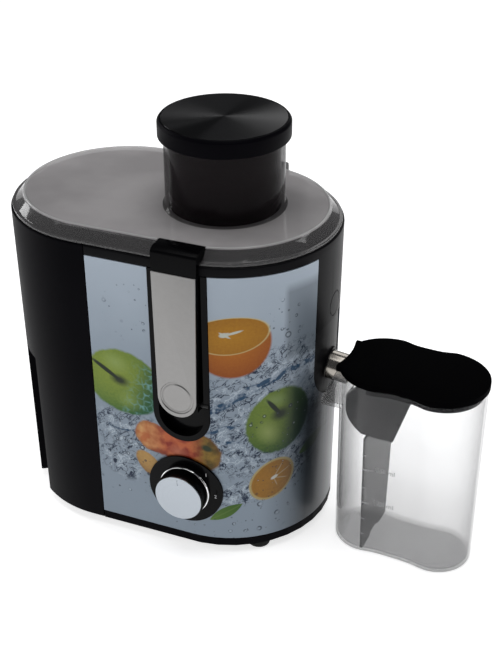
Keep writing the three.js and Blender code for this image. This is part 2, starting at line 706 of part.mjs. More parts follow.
function stator() {
  return boltHoles(cut(
    box(-STACK_X, STACK_X, -STACK_Y, STACK_Y, STACK_BOTTOM, STACK_TOP),
    upright(BORE_R, STACK_BOTTOM - 1, STACK_TOP + 1),
    box(-LEG_IN, LEG_IN, -19.5, 19.5, 0, 200).subtract(box(-15, 15, -30, 30, 0, 200)),
  ));
}

function fieldCoil(side) {
  const z0 = STACK_BOTTOM - GAP;
  const z1 = STACK_TOP + GAP;
  const [x0, x1] = [LEG_IN - GAP, STACK_X + GAP];
  const loop = cut(
    box(x0 - COIL_BUILD, x1 + COIL_BUILD, -COIL_HALF, COIL_HALF, z0 - COIL_BUILD, z1 + COIL_BUILD),
    box(x0, x1, -50, 50, z0, z1),
  );
  return side > 0 ? loop : loop.mirror([1, 0, 0]);
}

function armature() {
  return turned([
    [SHAFT_R + GAP, WINDING_BOTTOM], [WINDING_END_R, WINDING_BOTTOM], [WINDING_R, STACK_BOTTOM],
    [ARMATURE_R, STACK_BOTTOM], [ARMATURE_R, STACK_TOP], [WINDING_R, STACK_TOP],
    [WINDING_END_R, STACK_TOP + 3], [SHAFT_R + GAP, STACK_TOP + 3],
  ]);
}

function commutator() {
  return ring(SHAFT_R + GAP, COMMUTATOR_R, COMMUTATOR_BOTTOM, COMMUTATOR_TOP, SMALL);
}

function driveShaft() {
  return upright(SHAFT_R, SHAFT_BOTTOM, SHAFT_TOP, 0, 0, SMALL);
}

function coolingFan() {
  let body = union(
    ring(SHAFT_R + GAP, FAN_HUB_R, FAN_BOTTOM, FAN_TOP, SMALL),
    ring(FAN_HUB_R - 1, FAN_R, FAN_BOTTOM, FAN_PLATE_TOP),
  );
  const [length, , height] = FAN_BLADE;
  for (let i = 0; i < FAN_BLADES; i += 1) {
    const angle = (i * 2 * Math.PI) / FAN_BLADES;
    const blade = new THREE.BoxGeometry(...FAN_BLADE);
    blade.translate(FAN_R - 0.25 - length / 2, 0, FAN_TOP - height / 2);
    blade.rotateZ(angle);
    body = union(body, solid(blade));
  }
  return body;
}

function bearing(z0, z1) {
  return ring(SHAFT_R + GAP, BEARING_R, z0, z1);
}

/** Long screw through bracket, stack and bracket. */
function motorBolt(x, y) {
  return union(
    upright(BOLT_R, 38, 104.7, x, y, SMALL),
    upright(BOLT_HEAD_R, SHAFT_BOTTOM, SHAFT_BOTTOM + 3, x, y, SMALL),
  );
}

/** Stamped bridge that carries a bearing at one end of the motor. */
function bridge(z0, z1) {
  const [half, from] = BRIDGE_WINDOW;
  const window = box(-half, half, from, STACK_Y + 1, z0 - 1, z1 + 1);
  const body = cut(
    box(-STACK_X, STACK_X, -STACK_Y, STACK_Y, z0, z1),
    upright(BEARING_R + GAP, z0 - 1, z1 + 1),
    window,
    toRear(window),
  );
  return boltHoles(body);
}

/** Box round y = 0 from its two ends, half width, bottom and top. */
function bar({ from, to, half, bottom, top }) {
  return box(from, to, -half, half, bottom, top);
}

function brushHolder(side) {
  const body = cut(bar({ ...HOLDER, bottom: HOLDER.bottom + GAP }), bar(HOLDER_ROOM));
  return side > 0 ? body : body.mirror([1, 0, 0]);
}

function carbonBrush(side) {
  const body = bar(BRUSH);
  return side > 0 ? body : body.mirror([1, 0, 0]);
}

/** Rubber ring between the motor and the deck that keeps its hum from the housing. */
function motorCushion() {
  return ring(CUSHION_IN, CUSHION_OUT, CUSHION_BOTTOM + GAP, DECK_Z - GAP, COLUMNS);
}

function driveCoupling() {
  const low = CHIMNEY_TOP - COUPLING_LOW;
  const nose = CHIMNEY_TOP + COUPLING_NOSE;
  return turned([
    [SHAFT_R + GAP, low], [COUPLING_R, low], [COUPLING_R, CHIMNEY_TOP + 2], [COUPLING_NOSE_R, nose],
    [0, nose], [0, SHAFT_TOP + GAP], [SHAFT_R + GAP, SHAFT_TOP + GAP],
  ], SMALL);
}

// ---------------------------------------------------------------- basket

function filterBasket() {
  const low = BASKET_BASE + GAP;
  const rim = BASKET_TOP - BASKET_RIM;
  const inner = BASKET_WALL_R - 0.8;
  return turned([
    [0, low], [BASKET_FLOOR_R, low], [BASKET_WALL_R, rim], [BASKET_R, rim], [BASKET_R, BASKET_TOP],
    [inner, BASKET_TOP], [inner, rim + 1.5], [BASKET_FLOOR_R - 0.8, low + BASKET_SHEET],
    [0, low + BASKET_SHEET],
  ], COLUMNS);
}

function graterDisc() {
  let body = upright(GRATER_R, GRATER_Z - GRATER_SHEET, GRATER_Z, 0, 0, COLUMNS);
  for (const [radius, count] of TOOTH_ROWS) {
    for (let i = 0; i < count; i += 1) {
      const tooth = new THREE.CylinderGeometry(0.3, 1.5, TOOTH_HEIGHT, 3);
      tooth.rotateX(Math.PI / 2);
      tooth.translate(radius, 0, GRATER_Z + 1);
      tooth.rotateZ((i * 2 * Math.PI) / count);
      body = union(body, solid(tooth));
    }
  }
  return body;
}

// ---------------------------------------------------------------- small fittings

function foot(x, y) {
  return turned([
    [0, 0], [FOOT_R - 1, 0], [FOOT_R, 1], [FOOT_R, CASE_FOOT_Z - GAP], [0, CASE_FOOT_Z - GAP],
  ], 24, x, y);
}

function baseScrew(x, y) {
  return turned([
    [0, CASE_FOOT_Z - 0.9], [3.6, CASE_FOOT_Z - 0.9], [3.6, CASE_FOOT_Z + 1.1], [1.3, CASE_FOOT_Z + 1.1],
    [1.3, 27], [0, 28],
  ], 12, x, y);
}

function cordGland() {
  return turnedAlongY([
    [3.6, 63], [6.4, 63], [6.4, 66.9], [4.9, 66.9], [4.9, 71.2], [7.2, 71.2], [6.6, 74], [3.6, 74],
  ], GLAND_X, GLAND_Z, SMALL);
}

function safetySwitch() {
  return box(-47, -27, 54, 62, 84, 98);
}

// ---------------------------------------------------------------- jug

/** Jug outline at the rim: end circles joined by waisted sides, moved in by an offset. */
function jugOutline(inset) {
  const radius = JUG_R_TOP - inset;
  const outline = new THREE.Shape();
  outline.absarc(JUG_HALF_TOP, 0, radius, -Math.PI / 2, Math.PI / 2, false);
  const waist = (side) => {
    const from = new THREE.Vector2(JUG_HALF_TOP * side, radius * side);
    const to = new THREE.Vector2(-JUG_HALF_TOP * side, radius * side);
    const lean = new THREE.Vector2(JUG_HALF_TOP * 0.5 * side, 0);
    const dip = (radius - (JUG_WAIST * 4) / 3) * side;
    return new THREE.CubicBezierCurve(
      from, new THREE.Vector2(lean.x, dip), new THREE.Vector2(-lean.x, dip), to,
    );
  };
  for (const point of waist(1).getPoints(6).slice(1, -1)) outline.lineTo(point.x, point.y);
  outline.absarc(-JUG_HALF_TOP, 0, radius, Math.PI / 2, (3 * Math.PI) / 2, false);
  for (const point of waist(-1).getPoints(6).slice(1, -1)) outline.lineTo(point.x, point.y);
  return outline;
}

/** Upright solid on the jug's outline that narrows downwards as the jug does. */
function jugSolid(inset, z0, z1) {
  const shape = new THREE.ExtrudeGeometry(jugOutline(inset), {
    depth: z1 - z0, bevelEnabled: false, curveSegments: 11,
  });
  shape.translate(0, 0, z0);
  const place = shape.attributes.position;
  for (let i = 0; i < place.count; i += 1) {
    const rise = place.getZ(i) / JUG_RIM;
    const half = THREE.MathUtils.lerp(JUG_HALF_LOW, JUG_HALF_TOP, rise);
    const radius = THREE.MathUtils.lerp(JUG_R_LOW, JUG_R_TOP, rise);
    const middle = THREE.MathUtils.clamp(place.getX(i), -JUG_HALF_TOP, JUG_HALF_TOP);
    const scale = radius / JUG_R_TOP;
    place.setX(i, (middle * half) / JUG_HALF_TOP + (place.getX(i) - middle) * scale);
    place.setY(i, place.getY(i) * scale);
  }
  return solid(shape);
}

/** Pouring lip under the steel spout: a short open channel, cut back towards its front. */
function jugLip(inset) {
  const outline = new THREE.Shape();
  outline.moveTo(LIP_REACH + inset, LIP_FLOOR + inset);
  outline.lineTo(-JUG_HALF_TOP - 10, LIP_FLOOR + inset);
  outline.lineTo(-JUG_HALF_TOP - 10, JUG_RIM + inset);
  outline.lineTo(LIP_TOP_X, JUG_RIM + inset);
  outline.lineTo(LIP_REACH + inset, LIP_FLOOR + LIP_NOSE + inset);
  outline.closePath();
  return prismAlongY(outline, -LIP_HALF + inset, LIP_HALF - inset);
}

function jug() {
  const inside = jugSolid(JUG_WALL, JUG_WALL, JUG_RIM + 1);
  const cavity = union(inside, jugLip(JUG_WALL), jugLip(JUG_WALL).translate([-3, 0, 2.5]));
  const divider = cut(
    box(JUG_DIVIDER_X, JUG_DIVIDER_X + JUG_DIVIDER, -40, 40, 1, JUG_DIVIDER_TOP),
    box(
      JUG_DIVIDER_X - 1, JUG_DIVIDER_X + 3, -DIVIDER_GAP_HALF, DIVIDER_GAP_HALF,
      0, JUG_WALL + DIVIDER_GAP,
    ),
  ).intersect(jugSolid(0.5, 0.5, JUG_RIM));
  return union(cut(union(jugSolid(0, 0, JUG_RIM), jugLip(0)), cavity), divider);
}

function jugLid() {
  const base = JUG_RIM + GAP;
  const plate = new THREE.ExtrudeGeometry(jugOutline(JUG_R_TOP - JUG_LID_R), {
    depth: JUG_LID_TOP - base, bevelEnabled: false, curveSegments: 11,
  });
  plate.translate(0, 0, base);
  const horns = box(HORN_TIP_X, HORN_ROOT_X, -HORN_HALF, HORN_HALF, base, JUG_LID_TOP);
  const scoop = upright(SCOOP_R, base - 20, JUG_LID_TOP + 1, SCOOP_X, 0, 64);
  const plug = cut(
    jugSolid(JUG_WALL + PLUG_INSET, PLUG_BOTTOM, base + 1),
    jugSolid(JUG_WALL + PLUG_INSET + PLUG_WALL, PLUG_BOTTOM - 1, base),
    box(-60, PLUG_END_X, -60, 60, PLUG_BOTTOM - 1, base),
  );
  return cut(union(solid(plate), horns, plug), scoop);
}

/** Froth guard: a curved skirt under the lid that follows the jug's end and front wall. */
function frothGuard() {
  const top = JUG_RIM;
  const outline = (r) => {
    const shape = new THREE.Shape();
    shape.moveTo(12, -r);
    shape.lineTo(12, r);
    shape.lineTo(GUARD_X, r);
    shape.absarc(GUARD_X, 0, r, Math.PI / 2, (3 * Math.PI) / 2, false);
    shape.closePath();
    return shape;
  };
  const prism = (r, z0, z1) => {
    const shape = new THREE.ExtrudeGeometry(outline(r), {
      depth: z1 - z0, bevelEnabled: false, curveSegments: 16,
    });
    shape.translate(0, 0, z0);
    return solid(shape);
  };
  const wall = cut(
    prism(GUARD_R, GUARD_BOTTOM, top),
    prism(GUARD_R - GUARD_WALL, GUARD_BOTTOM - 1, top + 1),
  );
  const sides = new THREE.Shape();
  sides.moveTo(-21, GUARD_BOTTOM - 2);
  sides.lineTo(-47.5, GUARD_BOTTOM + 9.5);
  sides.lineTo(-26, top + 2);
  sides.lineTo(9, top + 2);
  sides.lineTo(-4.5, GUARD_BOTTOM - 2);
  sides.closePath();
  const front = box(-60, 60, -60, GUARD_BACK, 0, 200);
  const hanging = wall.intersect(prismAlongY(sides, -40, 40)).intersect(front);
  const web = box(-24, 8, -GUARD_R + 0.4, -GUARD_R + 9, top - 1.8, top);
  return union(hanging, web.intersect(prism(GUARD_R, GUARD_BOTTOM, top)));
}

// ---------------------------------------------------------------- assembly

const juicer = new THREE.Group();

function put(name, body, material, group = juicer) {
  group.add(piece(name, body, material));
}

put('base_plate', basePlate(), FINISH.charcoal);
put('motor_housing', motorHousing(), FINISH.charcoal);
put('printed_wrap', printedWrap(), FINISH.printedSteel);
put('pulp_container', pulpContainer(), FINISH.charcoal);
put('juice_bowl', juiceBowl(), FINISH.charcoal);
put('spout', spout(), FINISH.steel);
put('shaft_seal', shaftSeal(), FINISH.rubber);
put('lid', lid(), FINISH.smoky);
put('pusher_sleeve', pusherSleeve(), FINISH.smoky);
put('pusher_foot', pusherFoot(), FINISH.glossBlack);
put('pusher_cap', pusherCap(), FINISH.charcoal);
put('cap_disc', capDisc(), FINISH.glossBlack);

const SIDES = [['front', (body) => body], ['rear', toRear]];
for (const [side, place] of SIDES) {
  put(`clamp_frame_${side}`, place(clampFrame()), FINISH.glossBlack);
  put(`clamp_pin_${side}`, place(clampPin()), FINISH.darkSteel);
  put(`clamp_arm_${side}`, place(clampArm()), FINISH.charcoal);
  put(`clamp_plate_${side}`, place(clampPlate()), FINISH.silver);
}

put('knob_bezel', knobBezel(), FINISH.glossBlack);
put('knob_ring', knobRing(), FINISH.chrome);
put('knob_body', knobBody(), FINISH.charcoal);
put('knob_face', knobFace(), FINISH.silver);
put('switch_spindle', switchSpindle(), FINISH.whitePlastic);
put('rotary_switch', rotarySwitch(), FINISH.whitePlastic);

put('stator', stator(), FINISH.darkSteel);
put('field_coil_left', fieldCoil(-1), FINISH.copper);
put('field_coil_right', fieldCoil(1), FINISH.copper);
put('armature', armature(), FINISH.darkSteel);
put('commutator', commutator(), FINISH.copper);
put('drive_shaft', driveShaft(), FINISH.darkSteel);
put('cooling_fan', coolingFan(), FINISH.whitePlastic);
put('lower_bridge', bridge(40, 43), FINISH.zinc);
put('upper_bridge', bridge(100.5, 103.5), FINISH.zinc);
put('lower_bearing', bearing(37, 44), FINISH.chrome);
put('upper_bearing', bearing(98.5, 105.5), FINISH.chrome);
BOLT_SPOTS.forEach(([x, y], i) => put(`motor_bolt_${i + 1}`, motorBolt(x, y), FINISH.zinc));
put('brush_holder_left', brushHolder(-1), FINISH.carbon);
put('brush_holder_right', brushHolder(1), FINISH.carbon);
put('carbon_brush_left', carbonBrush(-1), FINISH.carbon);
put('carbon_brush_right', carbonBrush(1), FINISH.carbon);
put('motor_cushion', motorCushion(), FINISH.rubber);

put('drive_coupling', driveCoupling(), FINISH.whitePlastic);
put('filter_basket', filterBasket(), FINISH.steel);
put('grater_disc', graterDisc(), FINISH.steel);

FOOT_SPOTS.forEach(([x, y], i) => put(`foot_${i + 1}`, foot(x, y), FINISH.rubber));
SCREW_SPOTS.forEach(([x, y], i) => put(`base_screw_${i + 1}`, baseScrew(x, y), FINISH.zinc));
put('cord_gland', cordGland(), FINISH.rubber);
put('safety_switch', safetySwitch(), FINISH.carbon);

const jugGroup = new THREE.Group();
jugGroup.position.set(JUG_X, JUG_Y, 0);
jugGroup.rotation.z = JUG_TURN;
put('jug', jug(), FINISH.clear, jugGroup);
put('jug_lid', jugLid(), FINISH.charcoal, jugGroup);
put('froth_guard', frothGuard(), FINISH.smokeGrey, jugGroup);
juicer.add(jugGroup);

// The footprint's middle becomes the origin.
juicer.updateMatrixWorld(true);
const extent = new THREE.Box3().setFromObject(juicer, true);
juicer.position.set(-(extent.min.x + extent.max.x) / 2, -(extent.min.y + extent.max.y) / 2, 0);
juicer.updateMatrixWorld(true);

export default juicer;
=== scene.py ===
"""Looks of a compact centrifugal juicer with its jug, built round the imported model."""

import json
import logging
import math
from dataclasses import dataclass, field
from enum import Enum
from typing import Any, Callable, Sequence

import bmesh
import bpy
from mathutils import Matrix, Vector


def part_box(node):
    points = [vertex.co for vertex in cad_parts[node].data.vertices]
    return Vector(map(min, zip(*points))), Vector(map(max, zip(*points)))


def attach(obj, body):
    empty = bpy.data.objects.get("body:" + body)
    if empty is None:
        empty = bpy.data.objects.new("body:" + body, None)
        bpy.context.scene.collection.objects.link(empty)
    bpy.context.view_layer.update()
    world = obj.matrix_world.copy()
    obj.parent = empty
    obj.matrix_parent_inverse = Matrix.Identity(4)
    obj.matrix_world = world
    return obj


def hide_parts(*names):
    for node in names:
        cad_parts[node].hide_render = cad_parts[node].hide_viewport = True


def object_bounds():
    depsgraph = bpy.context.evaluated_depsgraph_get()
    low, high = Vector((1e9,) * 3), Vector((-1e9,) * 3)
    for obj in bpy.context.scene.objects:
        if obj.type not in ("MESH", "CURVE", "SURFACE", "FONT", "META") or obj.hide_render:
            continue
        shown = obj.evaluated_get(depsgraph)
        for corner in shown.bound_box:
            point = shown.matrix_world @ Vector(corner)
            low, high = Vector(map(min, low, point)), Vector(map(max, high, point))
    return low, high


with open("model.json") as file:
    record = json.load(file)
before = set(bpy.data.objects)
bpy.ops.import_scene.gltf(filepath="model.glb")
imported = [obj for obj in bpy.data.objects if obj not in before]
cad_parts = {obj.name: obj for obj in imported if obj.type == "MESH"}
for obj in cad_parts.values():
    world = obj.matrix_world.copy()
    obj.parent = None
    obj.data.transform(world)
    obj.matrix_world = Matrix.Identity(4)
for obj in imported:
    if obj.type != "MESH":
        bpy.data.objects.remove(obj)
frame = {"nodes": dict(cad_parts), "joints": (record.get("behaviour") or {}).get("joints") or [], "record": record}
CAD_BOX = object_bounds()

log = logging.getLogger("juicer")

MM = 0.001
FULL_TURN = 2 * math.pi
HALF_TURN = math.pi
FINE = 96
ROUND = 64
SMALL = 32
ROUNDING_STEPS = 4
ROUND_END_STEPS = 12
ALMOST_ALL = 0.9999
TOUCHING = 0.001
SHARP = math.radians(32)

Corner = tuple[float, ...]
Colour = tuple[float, float, float]
Oval = tuple[Corner, Corner, float]
Stroke = tuple[Corner, Corner, float]


def drive_place() -> Matrix:
    """Finds the drive axis.

    Returns:
        The matrix from millimetres about the drive axis to the scene.
    """
    low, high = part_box("drive_shaft")
    middle = (low + high) / 2
    return Matrix.Translation((middle.x, middle.y, 0)) @ Matrix.Scale(MM, 4)


def jug_place() -> Matrix:
    """Finds the jug's own middle and the way it is turned.

    Returns:
        The matrix from millimetres about the jug's middle to the scene.
    """
    mount = next(m for m in frame["record"]["mounts"] if m["name"] == "jug_underside")
    joint = next(j for j in frame["joints"] if j["name"] == "jug_slide")
    turn = math.atan2(joint["axis"][1], joint["axis"][0])
    return Matrix.Translation(mount["pos_m"]) @ Matrix.Rotation(turn, 4, "Z") @ Matrix.Scale(MM, 4)


DRIVE = drive_place()
JUG = jug_place()


# ---------------------------------------------------------------- shapes


class Join(Enum):
    """Ways in which two closed shapes become one."""

    ADD = "UNION"
    CUT = "DIFFERENCE"
    KEEP_COMMON = "INTERSECT"


class Lie(Enum):
    """The line that a turned shape is turned about."""

    UP = "up"
    BACK = "back"
    ACROSS = "across"


TURNS = {
    Lie.UP: Matrix.Identity(4),
    Lie.BACK: Matrix.Rotation(-HALF_TURN / 2, 4, "X"),
    Lie.ACROSS: Matrix.Rotation(HALF_TURN / 2, 4, "Y"),
}


class Shape:
    """A closed shape in millimetres while it is being made."""

    def __init__(self) -> None:
        """Starts with nothing in it."""
        self.mesh = bmesh.new()

    def outline(self, corners: Sequence[Corner], place: Callable[[float, float], Corner]) -> None:
        """Draws one closed face and rounds its corners.

        Args:
            corners: two numbers for each corner, and how far its rounding reaches where it has one.
            place: turns the two numbers into a point.
        """
        verts = [self.mesh.verts.new(place(corner[0], corner[1])) for corner in corners]
        self.mesh.faces.new(verts)
        for vert, corner in zip(verts, corners):
            if len(corner) > 2:
                bmesh.ops.bevel(
                    self.mesh,
                    geom=[vert],
                    offset=corner[2],
                    offset_type="OFFSET",
                    segments=int(corner[3]) if len(corner) > 3 else ROUNDING_STEPS,
                    profile=0.5,
                    affect="VERTICES",
                    material=-1,
                )

    def open_edges(self) -> None:
        """Leaves only the outline's edges, without those that lie along the turning axis."""
        bmesh.ops.delete(self.mesh, geom=list(self.mesh.faces), context="FACES_ONLY")
        along = [edge for edge in self.mesh.edges if all(abs(v.co.y) < TOUCHING for v in edge.verts)]
        bmesh.ops.delete(self.mesh, geom=along, context="EDGES")

    def spin(self, edges: list[Any], centre: Corner, angle: float, steps: int, merge: bool) -> list[Any]:
        """Spins edges about an upright line.

        Args:
            edges: the edges and vertices to spin.
            centre: a point on the line.
            angle: how far, in radians.
            steps: number of facets.
            merge: True for a full turn.

        Returns:
            The geometry at the end of the spin.
        """
        return bmesh.ops.spin(
            self.mesh,
            geom=edges,
            cent=centre,
            axis=(0, 0, 1),
            dvec=(0, 0, 0),
            angle=angle,
            steps=steps,
            use_merge=merge,
            use_duplicate=False,
        )["geom_last"]

    def push(self, edges: list[Any], by: Corner) -> list[Any]:
        """Extrudes edges straight along a vector.

        Args:
            edges: the edges and vertices to extrude.
            by: the vector.

        Returns:
            The edges and vertices at the new end.
        """
        only = [part for part in edges if isinstance(part, bmesh.types.BMEdge)]
        grown = bmesh.ops.extrude_edge_only(self.mesh, edges=only)["geom"]
        verts = [part for part in grown if isinstance(part, bmesh.types.BMVert)]
        bmesh.ops.translate(self.mesh, vec=by, verts=verts)
        return [part for part in grown if not isinstance(part, bmesh.types.BMFace)]

    def thickened(self, by: Corner) -> "Shape":
        """Turns one flat face into a closed solid.

        Args:
            by: the vector from its first face to its last.

        Returns:
            The shape.
        """
        grown = bmesh.ops.extrude_face_region(self.mesh, geom=list(self.mesh.faces))["geom"]
        verts = [part for part in grown if isinstance(part, bmesh.types.BMVert)]
        bmesh.ops.translate(self.mesh, vec=by, verts=verts)
        return self.close()

    def close(self) -> "Shape":
        """Merges doubles, removes slivers and turns every face outwards.

        Returns:
            The shape.
        """
        bmesh.ops.remove_doubles(self.mesh, verts=list(self.mesh.verts), dist=TOUCHING)
        bmesh.ops.dissolve_degenerate(self.mesh, edges=list(self.mesh.edges), dist=TOUCHING / 2)
        loose = [vert for vert in self.mesh.verts if not vert.link_faces]
        bmesh.ops.delete(self.mesh, geom=loose, context="VERTS")
        bmesh.ops.recalc_face_normals(self.mesh, faces=list(self.mesh.faces))
        return self

    def moved(self, matrix: Matrix) -> "Shape":
        """Moves the whole shape.

        Args:
            matrix: where to; a mirror keeps its faces outwards.

        Returns:
            The shape.
        """
        self.mesh.transform(matrix)
        if matrix.determinant() < 0:
            bmesh.ops.reverse_faces(self.mesh, faces=list(self.mesh.faces))
        return self

    def copied(self, matrix: Matrix) -> "Shape":
        """Copies the shape.

        Args:
            matrix: where the copy goes.

        Returns:
            The copy.
        """
        other = Shape()
        other.mesh = self.mesh.copy()
        return other.moved(matrix)

    def rounded(self, chosen: Callable[[Any], bool], reach: float, steps: int, held: bool = False) -> "Shape":
        """Rounds some of the edges.

        Args:
            chosen: says whether an edge is rounded.
            reach: how far the rounding reaches.
            steps: number of facets across it.
            held: True to stop where two roundings would meet.

        Returns:
            The shape.
        """
        bmesh.ops.bevel(
            self.mesh,
            geom=[edge for edge in self.mesh.edges if chosen(edge)],
            offset=reach,
            offset_type="OFFSET",
            segments=steps,
            profile=0.5,
            affect="EDGES",
            material=-1,
            clamp_overlap=held,
        )
        return self

    def loose_object(self, name: str) -> bpy.types.Object:
        """Makes a temporary object from the shape.

        Args:
            name: its name.

        Returns:
            The object, linked to the scene.
        """
        data = bpy.data.meshes.new(name)
        self.mesh.to_mesh(data)
        made = bpy.data.objects.new(name, data)
        bpy.context.scene.collection.objects.link(made)
        return made

    def joined(self, how: Join, *others: "Shape") -> "Shape":
        """Joins the shape with others, one after another, and keeps the result in itself.

        Args:
            how: the way of joining.
            others: closed shapes, which stay as they are.

        Returns:
            The shape.
        """
        for other in others:
            first, second = self.loose_object("first"), other.loose_object("second")
            joiner = first.modifiers.new("joiner", "BOOLEAN")
            joiner.operation = how.value
            joiner.solver = "EXACT"
            joiner.object = second
            bpy.context.view_layer.update()
            result = first.evaluated_get(bpy.context.evaluated_depsgraph_get())
            self.mesh.free()
            self.mesh = bmesh.new()
            self.mesh.from_mesh(result.data)
            for used in (first, second):
                data = used.data
                bpy.data.objects.remove(used)
                bpy.data.meshes.remove(data)
            bmesh.ops.remove_doubles(self.mesh, verts=list(self.mesh.verts), dist=TOUCHING)
        return self

    def cut(self, *tools: "Shape") -> "Shape":
        """Takes other shapes away from this one."""
        return self.joined(Join.CUT, *tools)

    def add(self, *parts: "Shape") -> "Shape":
        """Unites other shapes with this one."""
        return self.joined(Join.ADD, *parts)

    def within(self, *bounds: "Shape") -> "Shape":
        """Keeps what lies inside other shapes too."""
        return self.joined(Join.KEEP_COMMON, *bounds)

    def beside(self, *parts: "Shape") -> "Shape":
        """Carries other closed shapes along as separate islands of one mesh.

        Args:
            parts: the other shapes.

        Returns:
            The shape.
        """
        for part in parts:
            data = bpy.data.meshes.new("island")
            part.mesh.to_mesh(data)
            self.mesh.from_mesh(data)
            bpy.data.meshes.remove(data)
        return self


def turned(
    corners: Sequence[Corner],
    steps: int = ROUND,
    lie: Lie = Lie.UP,
    at: Corner = (0, 0, 0),
) -> Shape:
    """Makes a turned shape.

    Args:
        corners: (radius, height along the axis, rounding) round the section.
        steps: facets round a full turn.
        lie: the direction of the axis.
        at: where the axis passes.

    Returns:
        The closed shape.
    """
    shape = Shape()
    shape.outline(corners, lambda radius, height: (0, -radius, height))
    shape.open_edges()
    shape.spin(list(shape.mesh.verts) + list(shape.mesh.edges), (0, 0, 0), FULL_TURN, steps, True)
    return shape.close().moved(Matrix.Translation(at) @ TURNS[lie])


def oval(corners: Sequence[Corner], left: float, right: float, steps: int = FINE) -> Shape:
    """Makes a shape whose plan is two half circles joined by straight sides.

    Args:
        corners: (radius, height, rounding) round the section.
        left: x of the left half circle's middle.
        right: x of the right half circle's middle.
        steps: facets round a full turn.

    Returns:
        The closed shape.
    """
    shape = Shape()
    shape.outline(corners, lambda radius, height: (left, -radius, height))
    shape.open_edges()
    front = list(shape.mesh.verts) + list(shape.mesh.edges)
    side = shape.push(front, (right - left, 0, 0))
    end = shape.spin(side, (right, 0, 0), HALF_TURN, steps // 2, False)
    rear = shape.push(end, (left - right, 0, 0))
    shape.spin(rear, (left, 0, 0), HALF_TURN, steps // 2, False)
    return shape.close()


def slab(corners: Sequence[Corner], near: float, far: float, side_on: bool = False) -> Shape:
    """Makes an upright plate with a rounded outline.

    Args:
        corners: (x, z, rounding) round the outline, or (y, z, rounding) when it is side on.
        near: y, or x, of its first face.
        far: y, or x, of its last face.
        side_on: True for an outline that faces +X.

    Returns:
        The closed shape.
    """
    shape = Shape()
    shape.outline(corners, lambda a, z: (near, a, z) if side_on else (a, near, z))
    deep = far - near
    return shape.thickened((deep, 0, 0) if side_on else (0, deep, 0))


def upright(corners: Sequence[Corner], low: float, high: float) -> Shape:
    """Makes an upright prism.

    Args:
        corners: (x, y, rounding) round its plan.
        low: z of its underside.
        high: z of its top.

    Returns:
        The closed shape.
    """
    shape = Shape()
    shape.outline(corners, lambda x, y: (x, y, low))
    return shape.thickened((0, 0, high - low))


def block(x: Corner, y: Corner, z: Corner) -> Shape:
    """Makes a plain block, to cut or join with.

    Args:
        x: its two ends along x.
        y: its two ends along y.
        z: its two ends along z.

    Returns:
        The closed shape.
    """
    shape = Shape()
    size = Matrix.Diagonal((x[1] - x[0], y[1] - y[0], z[1] - z[0], 1))
    middle = Matrix.Translation(((x[0] + x[1]) / 2, (y[0] + y[1]) / 2, (z[0] + z[1]) / 2))
    bmesh.ops.create_cube(shape.mesh, size=1, matrix=middle @ size)
    return shape


def round_end(half: float) -> Corner:
    """Returns the rounding that makes two corners one round end of this half width."""
    return (half * ALMOST_ALL, ROUND_END_STEPS)


def slot(x: float, half: float, low: float, high: float, half_high: float | None = None) -> list[Corner]:
    """Draws an upright slot with a round bottom and a flat top.

    Args:
        x: its middle.
        half: its half width at the bottom.
        low: z of its bottom.
        high: z of its top.
        half_high: its half width at the top, where that differs.

    Returns:
        Its outline.
    """
    top = half if half_high is None else half_high
    foot = round_end(half)
    return [(x - half, low, *foot), (x + half, low, *foot), (x + top, high), (x - top, high)]


def to_rear(shape: Shape) -> Shape:
    """Returns the mirror copy of a shape at the rear."""
    return shape.copied(Matrix.Diagonal((1, -1, 1, 1)))


# ---------------------------------------------------------------- material nodes


class Number:
    """A number socket in a material, so that sums on it are written plainly."""

    def __init__(self, board: "Board", socket: bpy.types.NodeSocket) -> None:
        """Keeps the socket and the board it belongs to."""
        self.board = board
        self.socket = socket

    def through(self, operation: str, *others: Any, clamp: bool = False) -> "Number":
        """Adds one Math node.

        Args:
            operation: what it does.
            others: the numbers after this one.
            clamp: True to hold the result between 0 and 1.

        Returns:
            The result.
        """
        settings = {"operation": operation, "use_clamp": clamp}
        values = {i: other for i, other in enumerate((self, *others))}
        return Number(self.board, self.board.node("ShaderNodeMath", settings, values).outputs[0])

    def __add__(self, other: Any) -> "Number":
        """Sum."""
        return self.through("ADD", other)

    __radd__ = __add__

    def __sub__(self, other: Any) -> "Number":
        """Difference."""
        return self.through("SUBTRACT", other)

    def __rsub__(self, other: Any) -> "Number":
        """Difference from a plain number."""
        return self.through("MULTIPLY", -1) + other

    def __mul__(self, other: Any) -> "Number":
        """Product."""
        return self.through("MULTIPLY", other)

    __rmul__ = __mul__

    def __truediv__(self, other: Any) -> "Number":
        """Quotient."""
        return self.through("DIVIDE", other)

    def power(self, other: float) -> "Number":
        """Raised to a power."""
        return self.through("POWER", other)

    def most(self, other: Any) -> "Number":
        """The larger of two."""
        return self.through("MAXIMUM", other)

    def size(self) -> "Number":
        """Without its sign."""
        return self.through("ABSOLUTE")

    def share(self) -> "Number":
        """Held between 0 and 1."""
        return self.through("ADD", 0.0, clamp=True)

    def step(self, start: float, end: float) -> "Number":
        """0 at start and 1 at end, with a straight ramp between."""
        return ((self - start) / (end - start)).share()


